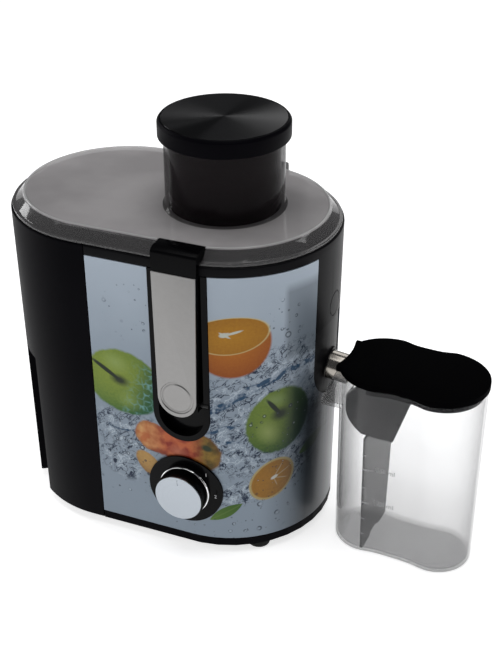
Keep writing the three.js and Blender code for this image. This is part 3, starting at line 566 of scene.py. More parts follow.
class Board:
    """The node tree of one material."""

    def __init__(self, name: str) -> None:
        """Makes the material with its shader and coordinates.

        Args:
            name: its name.
        """
        self.material = bpy.data.materials.new(name)
        self.material.use_nodes = True
        self.tree = self.material.node_tree
        self.shader = self.tree.nodes["Principled BSDF"]
        self.coordinates = self.tree.nodes.new("ShaderNodeTexCoord")

    def node(self, kind: str, settings: dict[str, Any], values: dict[Any, Any]) -> bpy.types.Node:
        """Adds a node.

        Args:
            kind: the node's type.
            settings: its own settings, set first; "stops" fills a colour ramp.
            values: the values or links of its input sockets.

        Returns:
            The node.
        """
        made = self.tree.nodes.new(kind)
        for name, setting in settings.items():
            if name == "stops":
                ramp = made.color_ramp
                while len(ramp.elements) < len(setting):
                    ramp.elements.new(0.5)
                for element, (place, colour) in zip(ramp.elements, setting):
                    element.position = place
                    element.color = (*colour, 1)
            else:
                setattr(made, name, setting)
        for name, value in values.items():
            self.feed(made.inputs[name], value)
        return made

    def feed(self, socket: bpy.types.NodeSocket, value: Any) -> None:
        """Links a socket to another one, or sets its value.

        Args:
            socket: the input socket.
            value: a socket, a Number, a colour of three numbers, or a plain value.
        """
        if isinstance(value, Number):
            value = value.socket
        if isinstance(value, bpy.types.NodeSocket):
            self.tree.links.new(value, socket)
        elif isinstance(value, tuple) and len(value) == 3 and len(socket.default_value) == 4:
            socket.default_value = (*value, 1)
        else:
            socket.default_value = value

    def place(self, scale: Corner = (1, 1, 1), shift: Corner = (0, 0, 0)) -> bpy.types.NodeSocket:
        """Gives object coordinates.

        Args:
            scale: how far they are stretched.
            shift: what is added to them.

        Returns:
            The socket of the coordinates.
        """
        values = {"Vector": self.coordinates.outputs["Object"], "Scale": scale, "Location": shift}
        return self.node("ShaderNodeMapping", {}, values).outputs[0]

    def noise(self, where: bpy.types.NodeSocket, scale: float, detail: float = 3) -> Number:
        """Adds soft noise about one half.

        Args:
            where: the coordinates.
            scale: its fineness.
            detail: its layers.

        Returns:
            The noise.
        """
        values = {"Vector": where, "Scale": scale, "Detail": detail}
        return Number(self, self.node("ShaderNodeTexNoise", {}, values).outputs[0])

    def blend(self, share: Any, first: Any, second: Any) -> bpy.types.NodeSocket:
        """Mixes two colours.

        Args:
            share: 0 for the first and 1 for the second.
            first: a colour or its socket.
            second: a colour or its socket.

        Returns:
            The socket of the mixed colour.
        """
        mix = self.node("ShaderNodeMix", {"data_type": "RGBA"}, {0: share, 6: first, 7: second})
        return mix.outputs[2]

    def bump(self, height: Number, strength: float, distance: float) -> None:
        """Feeds the shader's normal from a height.

        Args:
            height: the height.
            strength: how much of it shows.
            distance: its full height in metres.
        """
        values = {"Height": height, "Strength": strength, "Distance": distance}
        self.feed(self.shader.inputs["Normal"], self.node("ShaderNodeBump", {}, values).outputs[0])

    def set(self, **values: Any) -> None:
        """Sets or links the shader's sockets, whose names have _ for a space."""
        for name, value in values.items():
            self.feed(self.shader.inputs[name.replace("_", " ")], value)


@dataclass(frozen=True)
class Plastic:
    """Moulded plastic with a fine grain and faint shade changes."""

    name: str
    colour: Colour
    roughness: float
    gloss: float = 0.3
    grain: float = 0.08
    alpha: float = 1.0
    coat: float = 0.0

    def make(self) -> bpy.types.Material:
        """Makes the material.

        Returns:
            The material.
        """
        board = Board(self.name)
        fine = board.noise(board.place(), 2600)
        broad = board.noise(board.place(), 22)
        dark = tuple(share * 0.82 for share in self.colour)
        light = tuple(min(1.0, share * 1.22 + 0.0008) for share in self.colour)
        shade = (fine * 0.35 + broad * 0.65).step(0.35, 0.65)
        board.set(Base_Color=board.blend(shade, dark, light), Specular_IOR_Level=self.gloss)
        board.set(Roughness=(broad - 0.5) * 0.12 + (fine - 0.5) * 0.1 + self.roughness)
        if self.coat:
            board.set(Coat_Weight=self.coat, Coat_Roughness=0.08)
        if self.alpha < 1:
            board.set(Alpha=((broad - 0.5) * 0.08 + self.alpha).share())
        board.bump(fine, self.grain, 0.0002)
        return board.material


def shades(colour: Colour, spread: float) -> tuple[Colour, Colour]:
    """Gives a darker and a lighter shade of a colour.

    Args:
        colour: the colour.
        spread: how far each shade is from it.

    Returns:
        The darker shade and the lighter one.
    """
    light = tuple(min(1.0, share * (1 + spread)) for share in colour)
    return tuple(share * (1 - spread) for share in colour), light


class Lay(Enum):
    """The way the fine lines run on worked metal."""

    LEVEL = (40.0, 9000.0, 9000.0)
    NONE = (2500.0, 2500.0, 2500.0)


@dataclass(frozen=True)
class Metal:
    """Metal with fine lines from its working."""

    name: str
    colour: Colour
    roughness: float
    lay: Lay = Lay.NONE
    metallic: float = 1.0
    lines: float = 0.12

    def make(self) -> bpy.types.Material:
        """Makes the material.

        Returns:
            The material.
        """
        board = Board(self.name)
        fine = board.noise(board.place(self.lay.value), 0.12, 2)
        broad = board.noise(board.place(), 30)
        shade = (fine * 0.6 + broad * 0.4).step(0.3, 0.7)
        board.set(Base_Color=board.blend(shade, *shades(self.colour, 0.04)), Metallic=self.metallic)
        board.set(Roughness=(fine - 0.5) * 0.1 + (broad - 0.5) * 0.06 + self.roughness)
        board.bump(fine, self.lines, 0.0002)
        return board.material


@dataclass(frozen=True)
class SpunMetal:
    """Metal or plastic turned to fine rings about a centre."""

    name: str
    colour: Colour
    roughness: float
    lie: Lie
    node: str
    metallic: float
    spacing: float = 0.5
    depth: float = 0.3
    stretched: float = 0.0

    def make(self) -> bpy.types.Material:
        """Makes the material.

        Returns:
            The material.
        """
        board = Board(self.name)
        low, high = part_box(self.node)
        where = board.place(shift=tuple(-(low + high) / 2))
        apart = board.node("ShaderNodeSeparateXYZ", {}, {0: where})
        first = Number(board, apart.outputs["X"])
        second = Number(board, apart.outputs["Y" if self.lie is Lie.UP else "Z"])
        radius = (first * first + second * second).power(0.5)
        rings = (radius * (FULL_TURN / (self.spacing * MM))).through("SINE") * 0.5 + 0.5
        uneven = board.noise(board.node("ShaderNodeCombineXYZ", {}, {0: radius}).outputs[0], 1400, 2)
        shade = uneven.step(0.3, 0.7)
        board.set(Base_Color=board.blend(shade, *shades(self.colour, 0.06)), Metallic=self.metallic)
        board.set(Roughness=(uneven - 0.5) * 0.2 + self.roughness, Anisotropic=self.stretched)
        board.set(Anisotropic_Rotation=0.25)
        board.bump(rings * 0.6 + uneven * 0.4, self.depth, 0.0002)
        return board.material


@dataclass(frozen=True)
class Fade:
    """A change of tint along one axis: none at start, full at end, in metres."""

    axis: str
    start: float
    end: float
    tint: Colour
    thicker: float


@dataclass(frozen=True)
class ClearPlastic:
    """See-through moulding, denser where it is seen edge on and where its tint deepens."""

    name: str
    colour: Colour
    alpha: float
    edge: float
    roughness: float = 0.06
    gloss: float = 0.5
    rim_tint: float = 0.3
    fades: tuple[Fade, ...] = ()

    def make(self) -> bpy.types.Material:
        """Makes the material.

        Returns:
            The material.
        """
        board = Board(self.name)
        broad = board.noise(board.place(), 18)
        facing = Number(board, board.node("ShaderNodeLayerWeight", {}, {"Blend": 0.35}).outputs["Facing"])
        colour = board.blend(broad.step(0.35, 0.65), *shades(self.colour, 0.12))
        alpha = facing.power(2.0) * self.edge + (broad - 0.5) * 0.04 + self.alpha
        apart = board.node("ShaderNodeSeparateXYZ", {}, {0: board.place()})
        for fade in self.fades:
            amount = Number(board, apart.outputs[fade.axis]).step(fade.start, fade.end)
            colour = board.blend(amount, colour, fade.tint)
            alpha = alpha + amount * fade.thicker
        rim = tuple(share * self.rim_tint for share in self.colour)
        board.set(Base_Color=board.blend(facing.power(3.0), colour, rim))
        board.set(Roughness=(broad - 0.5) * 0.03 + self.roughness, Specular_IOR_Level=self.gloss)
        board.set(Alpha=alpha.share())
        return board.material


@dataclass(frozen=True)
class Sieve:
    """Thin steel with rows of fine holes, on the piece's own UV map in millimetres."""

    name: str
    colour: Colour
    pitch: float = 1.6
    hole: float = 0.3

    def make(self) -> bpy.types.Material:
        """Makes the material.

        Returns:
            The material.
        """
        board = Board(self.name)
        values = {"Vector": board.coordinates.outputs["UV"], "Scale": (1 / self.pitch, 1 / self.pitch, 1)}
        scaled = board.node("ShaderNodeMapping", {}, values).outputs[0]
        cells = board.node("ShaderNodeTexVoronoi", {}, {"Vector": scaled, "Scale": 1.0, "Randomness": 0.0})
        away = Number(board, cells.outputs["Distance"])
        solid = away.step(self.hole, self.hole + 0.08)
        fine = board.noise(board.place(), 900)
        board.set(Base_Color=board.blend(fine, tuple(share * 0.8 for share in self.colour), self.colour))
        board.set(Metallic=1.0, Roughness=(fine - 0.5) * 0.2 + 0.32, Alpha=solid)
        board.bump(away, 0.3, 0.0003)
        return board.material


@dataclass(frozen=True)
class Fruit:
    """One round patch of colour in the printed picture."""

    middle: tuple[float, float]
    half: tuple[float, float]
    turn: float
    light: Colour
    deep: Colour
    crisp: float = 14.0


@dataclass(frozen=True)
class PrintedPicture:
    """Lacquered sheet printed with fruit, leaves and splashing water, with a painted dark reflection and shade
    laid over its right end.

    The sheet's UV map holds millimetres along the sheet and up it, divided by 100. An oval in the lists
    below is its middle, its two half lengths and its turn in degrees.
    """

    name: str = "printed_steel_lacquer"
    fruits: tuple[Fruit, ...] = (
        Fruit((-44.5, 124.0), (29.0, 24.5), -14, (0.20, 0.26, 0.035), (0.012, 0.085, 0.018)),
        Fruit((60.5, 104.5), (23.0, 26.0), -25, (0.14, 0.20, 0.028), (0.006, 0.050, 0.008)),
        Fruit((-29.0, 62.5), (13.0, 7.5), -48, (0.42, 0.25, 0.08), (0.18, 0.09, 0.03), 9.0),
    )
    leaves: tuple[Oval, ...] = (((24.5, 34.6), (13.6, 8.4), 33), ((88.6, 77.0), (13.5, 9.0), 24))
    splashes: tuple[Oval, ...] = (
        ((30, 118), (40, 28), 22),
        ((30, 88), (34, 27), -15),
        ((-42, 86), (32, 20), -8),
        ((-50, 60), (20, 14), -30),
        ((66, 146), (34, 18), 8),
        ((32, 50), (24, 12), 10),
        ((70, 70), (26, 22), 0),
        ((110, 110), (40, 45), 0),
        ((230, 105), (60, 35), 10),
        ((330, 115), (70, 35), -10),
    )
    streaks: tuple[Stroke, ...] = (
        ((10, 110), (42, 133), 3.0),
        ((34, 131), (70, 142), 2.4),
        ((60, 142), (92, 143), 1.8),
        ((12, 116), (60, 137), 1.2),
        ((12, 98), (34, 106), 1.6),
        ((16, 94), (36, 90), 1.6),
        ((-60, 88), (-30, 84), 1.2),
        ((82, 95), (100, 106), 1.6),
        ((200, 120), (260, 138), 2.6),
        ((300, 108), (360, 128), 2.4),
    )
    sprays: tuple[Oval, ...] = (
        ((-38, 180), (20, 26), 0),
        ((64, 176), (14, 22), 0),
        ((-45, 60), (30, 34), 0),
        ((60, 60), (34, 34), 0),
        ((20, 30), (60, 22), 0),
        ((60, 105), (30, 30), 0),
        ((150, 120), (50, 90), 0),
        ((300, 110), (90, 90), 0),
    )
    drop_sizes: tuple[Corner, ...] = ((10.0, 0.45), (16.0, 0.35), (28.0, 0.45))

    def oval_reach(self, u: Number, z: Number, middle: Corner, half: Corner, turn: float) -> tuple[Any, ...]:
        """Measures where a point lies in an oval.

        Args:
            u: its place along the sheet.
            z: its height.
            middle: the oval's middle.
            half: its two half lengths.
            turn: its turn in degrees.

        Returns:
            How far out the point is, 1 on the edge, and its place along and across.
        """
        cosine, sine = math.cos(math.radians(turn)), math.sin(math.radians(turn))
        du, dz = u - middle[0], z - middle[1]
        along = (du * cosine + dz * sine) / half[0]
        across = (dz * cosine - du * sine) / half[1]
        return (along * along + across * across).power(0.5), along, across

    def zones(self, u: Number, z: Number, ovals: Sequence[Oval], crisp: float) -> Number:
        """Makes the mask of several soft ovals together.

        Args:
            u: place along the sheet.
            z: height.
            ovals: the ovals.
            crisp: how steep their edges are.

        Returns:
            The mask.
        """
        found = None
        for middle, half, turn in ovals:
            reach, _, _ = self.oval_reach(u, z, middle, half, turn)
            zone = ((1 - reach) * crisp).share()
            found = zone if found is None else found.most(zone)
        return found

    def bar(self, u: Number, z: Number, start: Corner, end: Corner, width: float) -> Number:
        """Makes the mask of a thin tapering stroke.

        Args:
            u: place along the sheet.
            z: height.
            start: its first end.
            end: its last end.
            width: half its width in the middle.

        Returns:
            The mask.
        """
        span = math.dist(start, end)
        turn = math.degrees(math.atan2(end[1] - start[1], end[0] - start[0]))
        middle = ((start[0] + end[0]) / 2, (start[1] + end[1]) / 2)
        reach, _, _ = self.oval_reach(u, z, middle, (span / 2, width), turn)
        return ((1 - reach) * 3.0).share()

    def make(self) -> bpy.types.Material:
        """Makes the material.

        Returns:
            The material.
        """
        board = Board(self.name)
        sheet = board.coordinates.outputs["UV"]
        apart = board.node("ShaderNodeSeparateXYZ", {}, {0: sheet})
        u, z = Number(board, apart.outputs[0]) * 100, Number(board, apart.outputs[1]) * 100
        wobble = (board.noise(sheet, 22, 3) - 0.5) * 0.22
        speckle = board.noise(sheet, 60, 4)
        cloud = board.noise(sheet, 3, 2)

        rise = ((z - 120) / 90 + (cloud - 0.5) * 0.3).share()
        colour = board.blend(rise, (0.215, 0.262, 0.315), (0.385, 0.445, 0.515))

        colour = self.water(board, sheet, u, z, colour)
        for fruit in self.fruits:
            reach, along, across = self.oval_reach(u, z, fruit.middle, fruit.half, fruit.turn)
            mask = ((1 + wobble * 0.5 - reach) * fruit.crisp).share()
            depth = along * 0.32 - across * 0.22 + reach * reach * 0.45 + (speckle - 0.5) * 0.5 + 0.18
            colour = board.blend(mask, colour, board.blend(depth.share(), fruit.light, fruit.deep))
        colour = self.pear(board, sheet, u, z, colour, wobble)
        colour = self.orange_half(board, u, z, colour, speckle)
        colour = self.slice(board, u, z, colour, speckle)
        colour = self.apple_marks(board, sheet, u, z, colour)
        for leaf in self.leaves:
            colour = self.leaf(board, u, z, colour, leaf)
        colour = self.droplets(board, sheet, u, z, colour)

        # Painted reflection and shade: darkens the right end of the picture as if it mirrored dark surroundings.
        colour = self.paint_dark_reflection(board, u, z, colour)
        fine = board.noise(board.place(), 1500)
        board.set(Base_Color=colour, Metallic=0.2, Specular_IOR_Level=0.18)
        board.set(Roughness=(fine - 0.5) * 0.1 + 0.3, Coat_Weight=0.08, Coat_Roughness=0.1)
        board.bump(fine, 0.05, 0.0001)
        return board.material

    def paint_dark_reflection(self, board: Board, u: Number, z: Number, colour: Any) -> Any:
        """Paints a dark reflection of the surroundings onto the picture round its right end; this is painted
        reflection and shade, not print.

        Args:
            board: the material.
            u: place along the sheet.
            z: height.
            colour: the picture so far.

        Returns:
            The picture's colour.
        """
        # Painted reflection: a darker shape above and a deep dark band below stand in for dark surroundings
        # mirrored in the sheet's right end.
        painted_reflection_veil = u.step(62, 66) * (1 - u.step(100, 150)) * z.step(146, 152) * (1 - z.step(197, 204)) * 0.5
        colour = board.blend(painted_reflection_veil, colour, (0.035, 0.048, 0.06))
        deep = u.step(46, 84) * (1 - u.step(120, 180)) * (1 - z.step(105, 165)) * 0.95
        return board.blend(deep.power(1.3), colour, (0.006, 0.009, 0.013))

    def pear(self, board: Board, sheet: Any, u: Number, z: Number, colour: Any, wobble: Number) -> Any:
        """Paints the pear: a broad end, a narrow end, and patches from red to olive.

        Args:
            board: the material.
            sheet: the sheet's coordinates.
            u: place along the sheet.
            z: height.
            colour: the picture so far.
            wobble: unevenness of its edge.

        Returns:
            The picture's colour.
        """
        broad, _, _ = self.oval_reach(u, z, (1.5, 81.5), (21.5, 17.5), -8)
        narrow, _, _ = self.oval_reach(u, z, (-21.0, 85.5), (18.5, 14.0), -14)
        neck = u.step(-30, -4)
        reach = broad * neck + narrow * (1 - neck)
        mask = ((1 + wobble * 0.6 - reach) * 12.0).share()
        patches = board.noise(sheet, 11, 4)
        red = board.blend(patches.step(0.42, 0.6), (0.22, 0.025, 0.012), (0.42, 0.10, 0.035))
        pale = board.blend(patches.step(0.38, 0.6), (0.42, 0.13, 0.04), (0.55, 0.31, 0.12))
        olive = board.blend(patches.step(0.4, 0.62), (0.075, 0.05, 0.008), (0.22, 0.13, 0.02))
        skin = board.blend(u.step(-34, -16), pale, red)
        skin = board.blend((u + (patches - 0.5) * 14).step(2, 12), skin, olive)
        skin = board.blend(reach.step(0.75, 1.05) * 0.7, skin, (0.10, 0.025, 0.01))
        return board.blend(mask, colour, skin)

    def orange_half(self, board: Board, u: Number, z: Number, colour: Any, speckle: Number) -> Any:
        """Paints the halved orange: its skin, pith and cut face.

        Args:
            board: the material.
            u: place along the sheet.
            z: height.
            colour: the picture so far.
            speckle: fine noise.

        Returns:
            The picture's colour.
        """
        reach, _, across = self.oval_reach(u, z, (28.5, 166.5), (26.5, 26.0), 8)
        skin = ((1 - reach) * 16).share() * (0.14 - across).step(0, 0.06)
        shade = (reach * 0.7 + (speckle - 0.5) * 0.4 - across * 0.25).share()
        colour = board.blend(skin, colour, board.blend(shade, (0.42, 0.14, 0.012), (0.22, 0.05, 0.006)))
        reach, along, across = self.oval_reach(u, z, (28.0, 171.5), (26.0, 13.6), 8)
        colour = board.blend(((1 - reach) * 16).share(), colour, (0.50, 0.42, 0.20))
        face = ((0.955 - reach) * 24).share()
        shade = ((speckle - 0.5) * 0.8 + reach * 0.5 + 0.15).share()
        colour = board.blend(face, colour, board.blend(shade, (0.40, 0.185, 0.012), (0.25, 0.10, 0.008)))
        core, _, _ = self.oval_reach(u, z, (24.5, 172.4), (3.6, 2.0), 12)
        star = ((1.0 - core) * 3).share()
        for start, end in (((21, 174.5), (29, 170)), ((22, 170.5), (28, 174.5)), ((24, 172), (37, 176))):
            star = star.most(self.bar(u, z, start, end, 1.0))
        return board.blend(star, colour, (0.46, 0.48, 0.42))

    def slice(self, board: Board, u: Number, z: Number, colour: Any, speckle: Number) -> Any:
        """Paints the round orange slice at the foot.

        Args:
            board: the material.
            u: place along the sheet.
            z: height.
            colour: the picture so far.
            speckle: fine noise.

        Returns:
            The picture's colour.
        """
        reach, _, _ = self.oval_reach(u, z, (56.2, 58.6), (18.6, 14.6), 44)
        colour = board.blend(((1 - reach) * 18).share(), colour, (0.33, 0.26, 0.11))
        shade = ((speckle - 0.5) * 0.9 + reach * 0.3 + 0.25).share()
        flesh = board.blend(shade, (0.32, 0.15, 0.015), (0.17, 0.075, 0.01))
        colour = board.blend(((0.9 - reach) * 18).share(), colour, flesh)
        for end in ((70, 66), (64, 71), (68, 57), (60, 52)):
            colour = board.blend(self.bar(u, z, (57, 59.5), end, 0.55) * 0.5, colour, (0.40, 0.36, 0.25))
        core, _, _ = self.oval_reach(u, z, (57.5, 59.8), (3.2, 1.5), 25)
        return board.blend(((1 - core) * 3).share(), colour, (0.50, 0.50, 0.46))

    def apple_marks(self, board: Board, sheet: Any, u: Number, z: Number, colour: Any) -> Any:
        """Paints highlights, hollows and stems on both apples, the dent on the pear, and a painted dark reflection
        over the right apple's right side.

        Args:
            board: the material.
            sheet: the sheet's coordinates.
            u: place along the sheet.
            z: height.
            colour: the picture so far.

        Returns:
            The picture's colour.
        """
        glows = (
            ((-50, 138), (12, 8), -20, (0.24, 0.32, 0.10), 0.7),
            ((-40, 110), (12, 8), -10, (0.24, 0.32, 0.08), 0.6),
            ((53, 97), (9, 12), 30, (0.26, 0.32, 0.10), 0.8),
            ((58, 121), (10, 6), -10, (0.22, 0.30, 0.12), 0.6),
            ((-8, 79), (8, 6), 0, (0.46, 0.16, 0.09), 0.6),
        )
        for middle, half, turn, tint, strength in glows:
            reach, _, _ = self.oval_reach(u, z, middle, half, turn)
            colour = board.blend(((1 - reach) * strength).share(), colour, tint)
        hollows = (
            ((-47.5, 125.0), (8.5, 5.0), -12, 1.4),
            ((61.2, 109.4), (8.0, 6.0), 10, 1.5),
            ((12.5, 86.0), (4.6, 3.2), -20, 2.0),
        )
        for middle, half, turn, strength in hollows:
            reach, _, _ = self.oval_reach(u, z, middle, half, turn)
            colour = board.blend(((1 - reach) * strength).share(), colour, (0.02, 0.03, 0.012))
        for start, end in (((-69.0, 138.5), (-45.0, 123.6)), ((50.6, 123.5), (62.6, 107.5))):
            colour = board.blend(self.bar(u, z, start, end, 1.9), colour, (0.012, 0.02, 0.01))
        cells = board.node(
            "ShaderNodeTexVoronoi", {"feature": "DISTANCE_TO_EDGE"}, {"Vector": sheet, "Scale": 21.0}
        )
        thin = 1 - Number(board, cells.outputs["Distance"]).step(0.03, 0.16)
        reach, along, _ = self.oval_reach(u, z, (-44.5, 123.5), (28.5, 23.5), -18)
        inside = ((1 - reach) * 12).share()
        colour = board.blend(along.step(0.2, 0.7) * inside * 0.8, colour, (0.006, 0.065, 0.028))
        # Painted reflection: the right apple's right side is darkened where dark surroundings would be mirrored in
        # the sheet.
        far, _, _ = self.oval_reach(u, z, (60.5, 104.5), (23.0, 26.0), -25)
        painted_reflection_on_apple = u.step(62, 72) * ((1 - far) * 12).share() * 0.8
        colour = board.blend(painted_reflection_on_apple, colour, (0.004, 0.028, 0.008))
        broken = board.noise(sheet, 18, 4).step(0.42, 0.62)
        glass = thin * broken * along.step(0.0, 0.5) * inside * 0.7
        return board.blend(glass, colour, (0.15, 0.33, 0.34))

    def leaf(self, board: Board, u: Number, z: Number, colour: Any, leaf: Oval) -> Any:
        """Paints one leaf: where two discs overlap, with a pale vein.

        Args:
            board: the material.
            u: place along the sheet.
            z: height.
            colour: the picture so far.
            leaf: its middle, half length and width, and turn.

        Returns:
            The picture's colour.
        """
        middle, half, turn = leaf
        cosine, sine = math.cos(math.radians(turn)), math.sin(math.radians(turn))
        du, dz = u - middle[0], z - middle[1]
        along = (du * cosine + dz * sine) / half[0]
        across = (dz * cosine - du * sine) / half[0]
        bow = (half[0] ** 2 - (half[1] / 2) ** 2) / half[1] / half[0]
        radius = math.hypot(1, bow)
        first = (along * along + (across + bow) * (across + bow)).power(0.5)
        second = (along * along + (across - bow) * (across - bow)).power(0.5)
        mask = ((radius - first.most(second)) * 40).share()
        green = board.blend(along.step(-1, 1), (0.075, 0.15, 0.02), (0.03, 0.085, 0.01))
        colour = board.blend(mask, colour, green)
        vein = (1 - across.size().step(0.0, 0.05)) * mask * 0.35
        return board.blend(vein, colour, (0.15, 0.22, 0.06))

    def water(self, board: Board, sheet: Any, u: Number, z: Number, colour: Any) -> Any:
        """Paints the streaks and the fine net of splashing water.

        Args:
            board: the material.
            sheet: the sheet's coordinates.
            u: place along the sheet.
            z: height.
            colour: the picture so far.

        Returns:
            The picture's colour.
        """
        warp = board.noise(sheet, 9, 3)
        shift = board.node("ShaderNodeCombineXYZ", {}, {0: warp * 0.34, 1: warp * 0.28}).outputs[0]
        shifted = board.node("ShaderNodeVectorMath", {"operation": "ADD"}, {0: sheet, 1: shift}).outputs[0]
        net = None
        for scale, thin in ((11.0, 0.05), (22.0, 0.075)):
            values = {"Vector": shifted, "Scale": scale}
            cells = board.node("ShaderNodeTexVoronoi", {"feature": "DISTANCE_TO_EDGE"}, values)
            line = 1 - Number(board, cells.outputs["Distance"]).step(thin * 0.3, thin)
            net = line if net is None else net.most(line)
        broken = board.noise(sheet, 15, 5).step(0.44, 0.54)
        zones = self.zones(u, z, self.splashes, 1.8)
        lit = net * (1 - broken) * zones * 0.6
        colour = board.blend(lit, colour, (0.50, 0.57, 0.64))
        colour = board.blend(net * broken * zones.step(0, 0.5), colour, (0.010, 0.020, 0.045))
        ripple = (warp - 0.5) * 0.9
        for start, end, width in self.streaks:
            stroke = self.bar(u + ripple * 8, z + ripple * 12, start, end, width)
            kept = (stroke * (broken * 0.75 + 0.25)).share() * 0.95
            colour = board.blend(kept, colour, (0.010, 0.045, 0.10))
        return colour

    def droplets(self, board: Board, sheet: Any, u: Number, z: Number, colour: Any) -> Any:
        """Paints drops of water: dark rims with a pale spot, in three sizes.

        Args:
            board: the material.
            sheet: the sheet's coordinates.
            u: place along the sheet.
            z: height.
            colour: the picture so far.

        Returns:
            The picture's colour.
        """
        where = self.zones(u, z, self.sprays, 3)
        for scale, chance in self.drop_sizes:
            values = {"Vector": sheet, "Scale": scale, "Randomness": 1.0}
            cells = board.node("ShaderNodeTexVoronoi", {}, values)
            away = Number(board, cells.outputs["Distance"])
            kind = board.node("ShaderNodeSeparateXYZ", {}, {0: cells.outputs["Color"]})
            chosen = Number(board, kind.outputs[0]).step(chance, chance + 0.01) * where
            size = Number(board, kind.outputs[1]) * 0.11 + 0.10
            rim = (1 - ((away - size).size() / 0.07).share()) * chosen
            half = board.noise(sheet, scale * 1.7, 1).step(0.42, 0.52)
            colour = board.blend(rim * (half * 0.75 + 0.2), colour, (0.012, 0.02, 0.035))
            spot = (1 - (away / (size * 0.8)).share()) * chosen
            colour = board.blend(spot * 0.6, colour, (0.50, 0.56, 0.62))
        return colour


# ---------------------------------------------------------------- finishes


class Finishes:
    """Every finish on the juicer, made once."""

    def __init__(self) -> None:
        """Makes the materials."""
        recipes = (
            Plastic("charcoal_plastic", (0.0014, 0.0012, 0.0024), 0.46, 0.025, 0.1),
            Plastic("dark_satin_plastic", (0.0024, 0.0023, 0.0032), 0.40, 0.06, 0.1),
            Plastic("gloss_black_plastic", (0.001, 0.001, 0.0014), 0.16, 0.08, 0.02),
            Plastic("matte_black_plastic", (0.0005, 0.0005, 0.0008), 0.6, 0.008, 0.15),
            Plastic("smoke_grey_plastic", (0.017, 0.017, 0.018), 0.2, 0.3, 0.04, alpha=0.97),
            Plastic("pale_nylon", (0.62, 0.60, 0.54), 0.5, 0.4),
            Plastic("dark_moulding", (0.025, 0.025, 0.026), 0.55),
            Plastic("black_rubber", (0.009, 0.009, 0.009), 0.8, 0.2, 0.35),
            Plastic("mark_white", (0.62, 0.62, 0.63), 0.5, 0.3, 0.03),
            Plastic("mark_grey", (0.40, 0.40, 0.41), 0.5, 0.3, 0.03),
            ClearPlastic(
                "smoky_plastic", (0.60, 0.575, 0.58), 0.60, 0.3, 0.05, 0.5, 0.4,
                (
                    # Painted shade and highlight on one moulding: below its top plate the lid is tinted dark, and
                    # the bead on top is kept pale and made denser so that it reads as a bright line.
                    Fade("Z", 0.2272, 0.2266, (0.085, 0.083, 0.084), 0.1),
                    Fade("Z", 0.2275, 0.2278, (0.60, 0.60, 0.60), 0.1),
                ),
            ),
            ClearPlastic("smoky_chute", (0.010, 0.0075, 0.0085), 0.50, 0.48, 0.04, 0.08),
            ClearPlastic("smoky_sleeve", (0.075, 0.059, 0.062), 0.52, 0.4, 0.08, 0.08),
            ClearPlastic(
                "clear_plastic", (0.36, 0.36, 0.37), 0.045, 0.6, 0.03, 0.5, 0.05,
                (
                    Fade("Z", 0.110, 0.0, (0.30, 0.30, 0.31), 0.08),
                    Fade("Z", 0.0045, 0.0015, (0.10, 0.10, 0.105), 0.16),
                    Fade("X", 0.078, 0.066, (0.02, 0.02, 0.022), 0.30),
                ),
            ),
            ClearPlastic("clear_divider", (0.012, 0.012, 0.013), 0.74, 0.26, 0.06, 0.18, 0.1),
            Metal("satin_silver", (0.285, 0.28, 0.275), 0.38, Lay.NONE, 0.85, 0.02),
            Metal("chrome_trim", (0.80, 0.80, 0.81), 0.1, Lay.NONE, 1.0, 0.02),
            Metal("stainless_steel", (0.36, 0.335, 0.30), 0.2, Lay.NONE, 1.0, 0.05),
            Metal("blackened_steel", (0.02, 0.02, 0.02), 0.4, Lay.NONE, 0.6, 0.05),
            Metal("plated_steel", (0.42, 0.42, 0.42), 0.38, Lay.LEVEL),
            Metal("enamelled_copper", (0.52, 0.22, 0.09), 0.35, Lay.LEVEL, 0.85),
            SpunMetal(
                "spun_black_disc", (0.016, 0.016, 0.017), 0.34, Lie.UP, "cap_disc", 1.0, 0.8, 0.04, 0.95
            ),
            SpunMetal("spun_silver_face", (0.40, 0.435, 0.475), 0.2, Lie.BACK, "knob_face", 0.9, 0.4, 0.03),
            Sieve("sieve_steel", (0.5, 0.48, 0.45)),
            PrintedPicture(),
        )
        self.made = {recipe.name: recipe.make() for recipe in recipes}

    def __getitem__(self, name: str) -> bpy.types.Material:
        """Returns one material by name."""
        return self.made[name]


FINISH_OF_SLOT = {
    "printed_steel": "printed_steel_lacquer",
    "rubber": "black_rubber",
    "copper": "enamelled_copper",
    "pale_plastic": "pale_nylon",
}


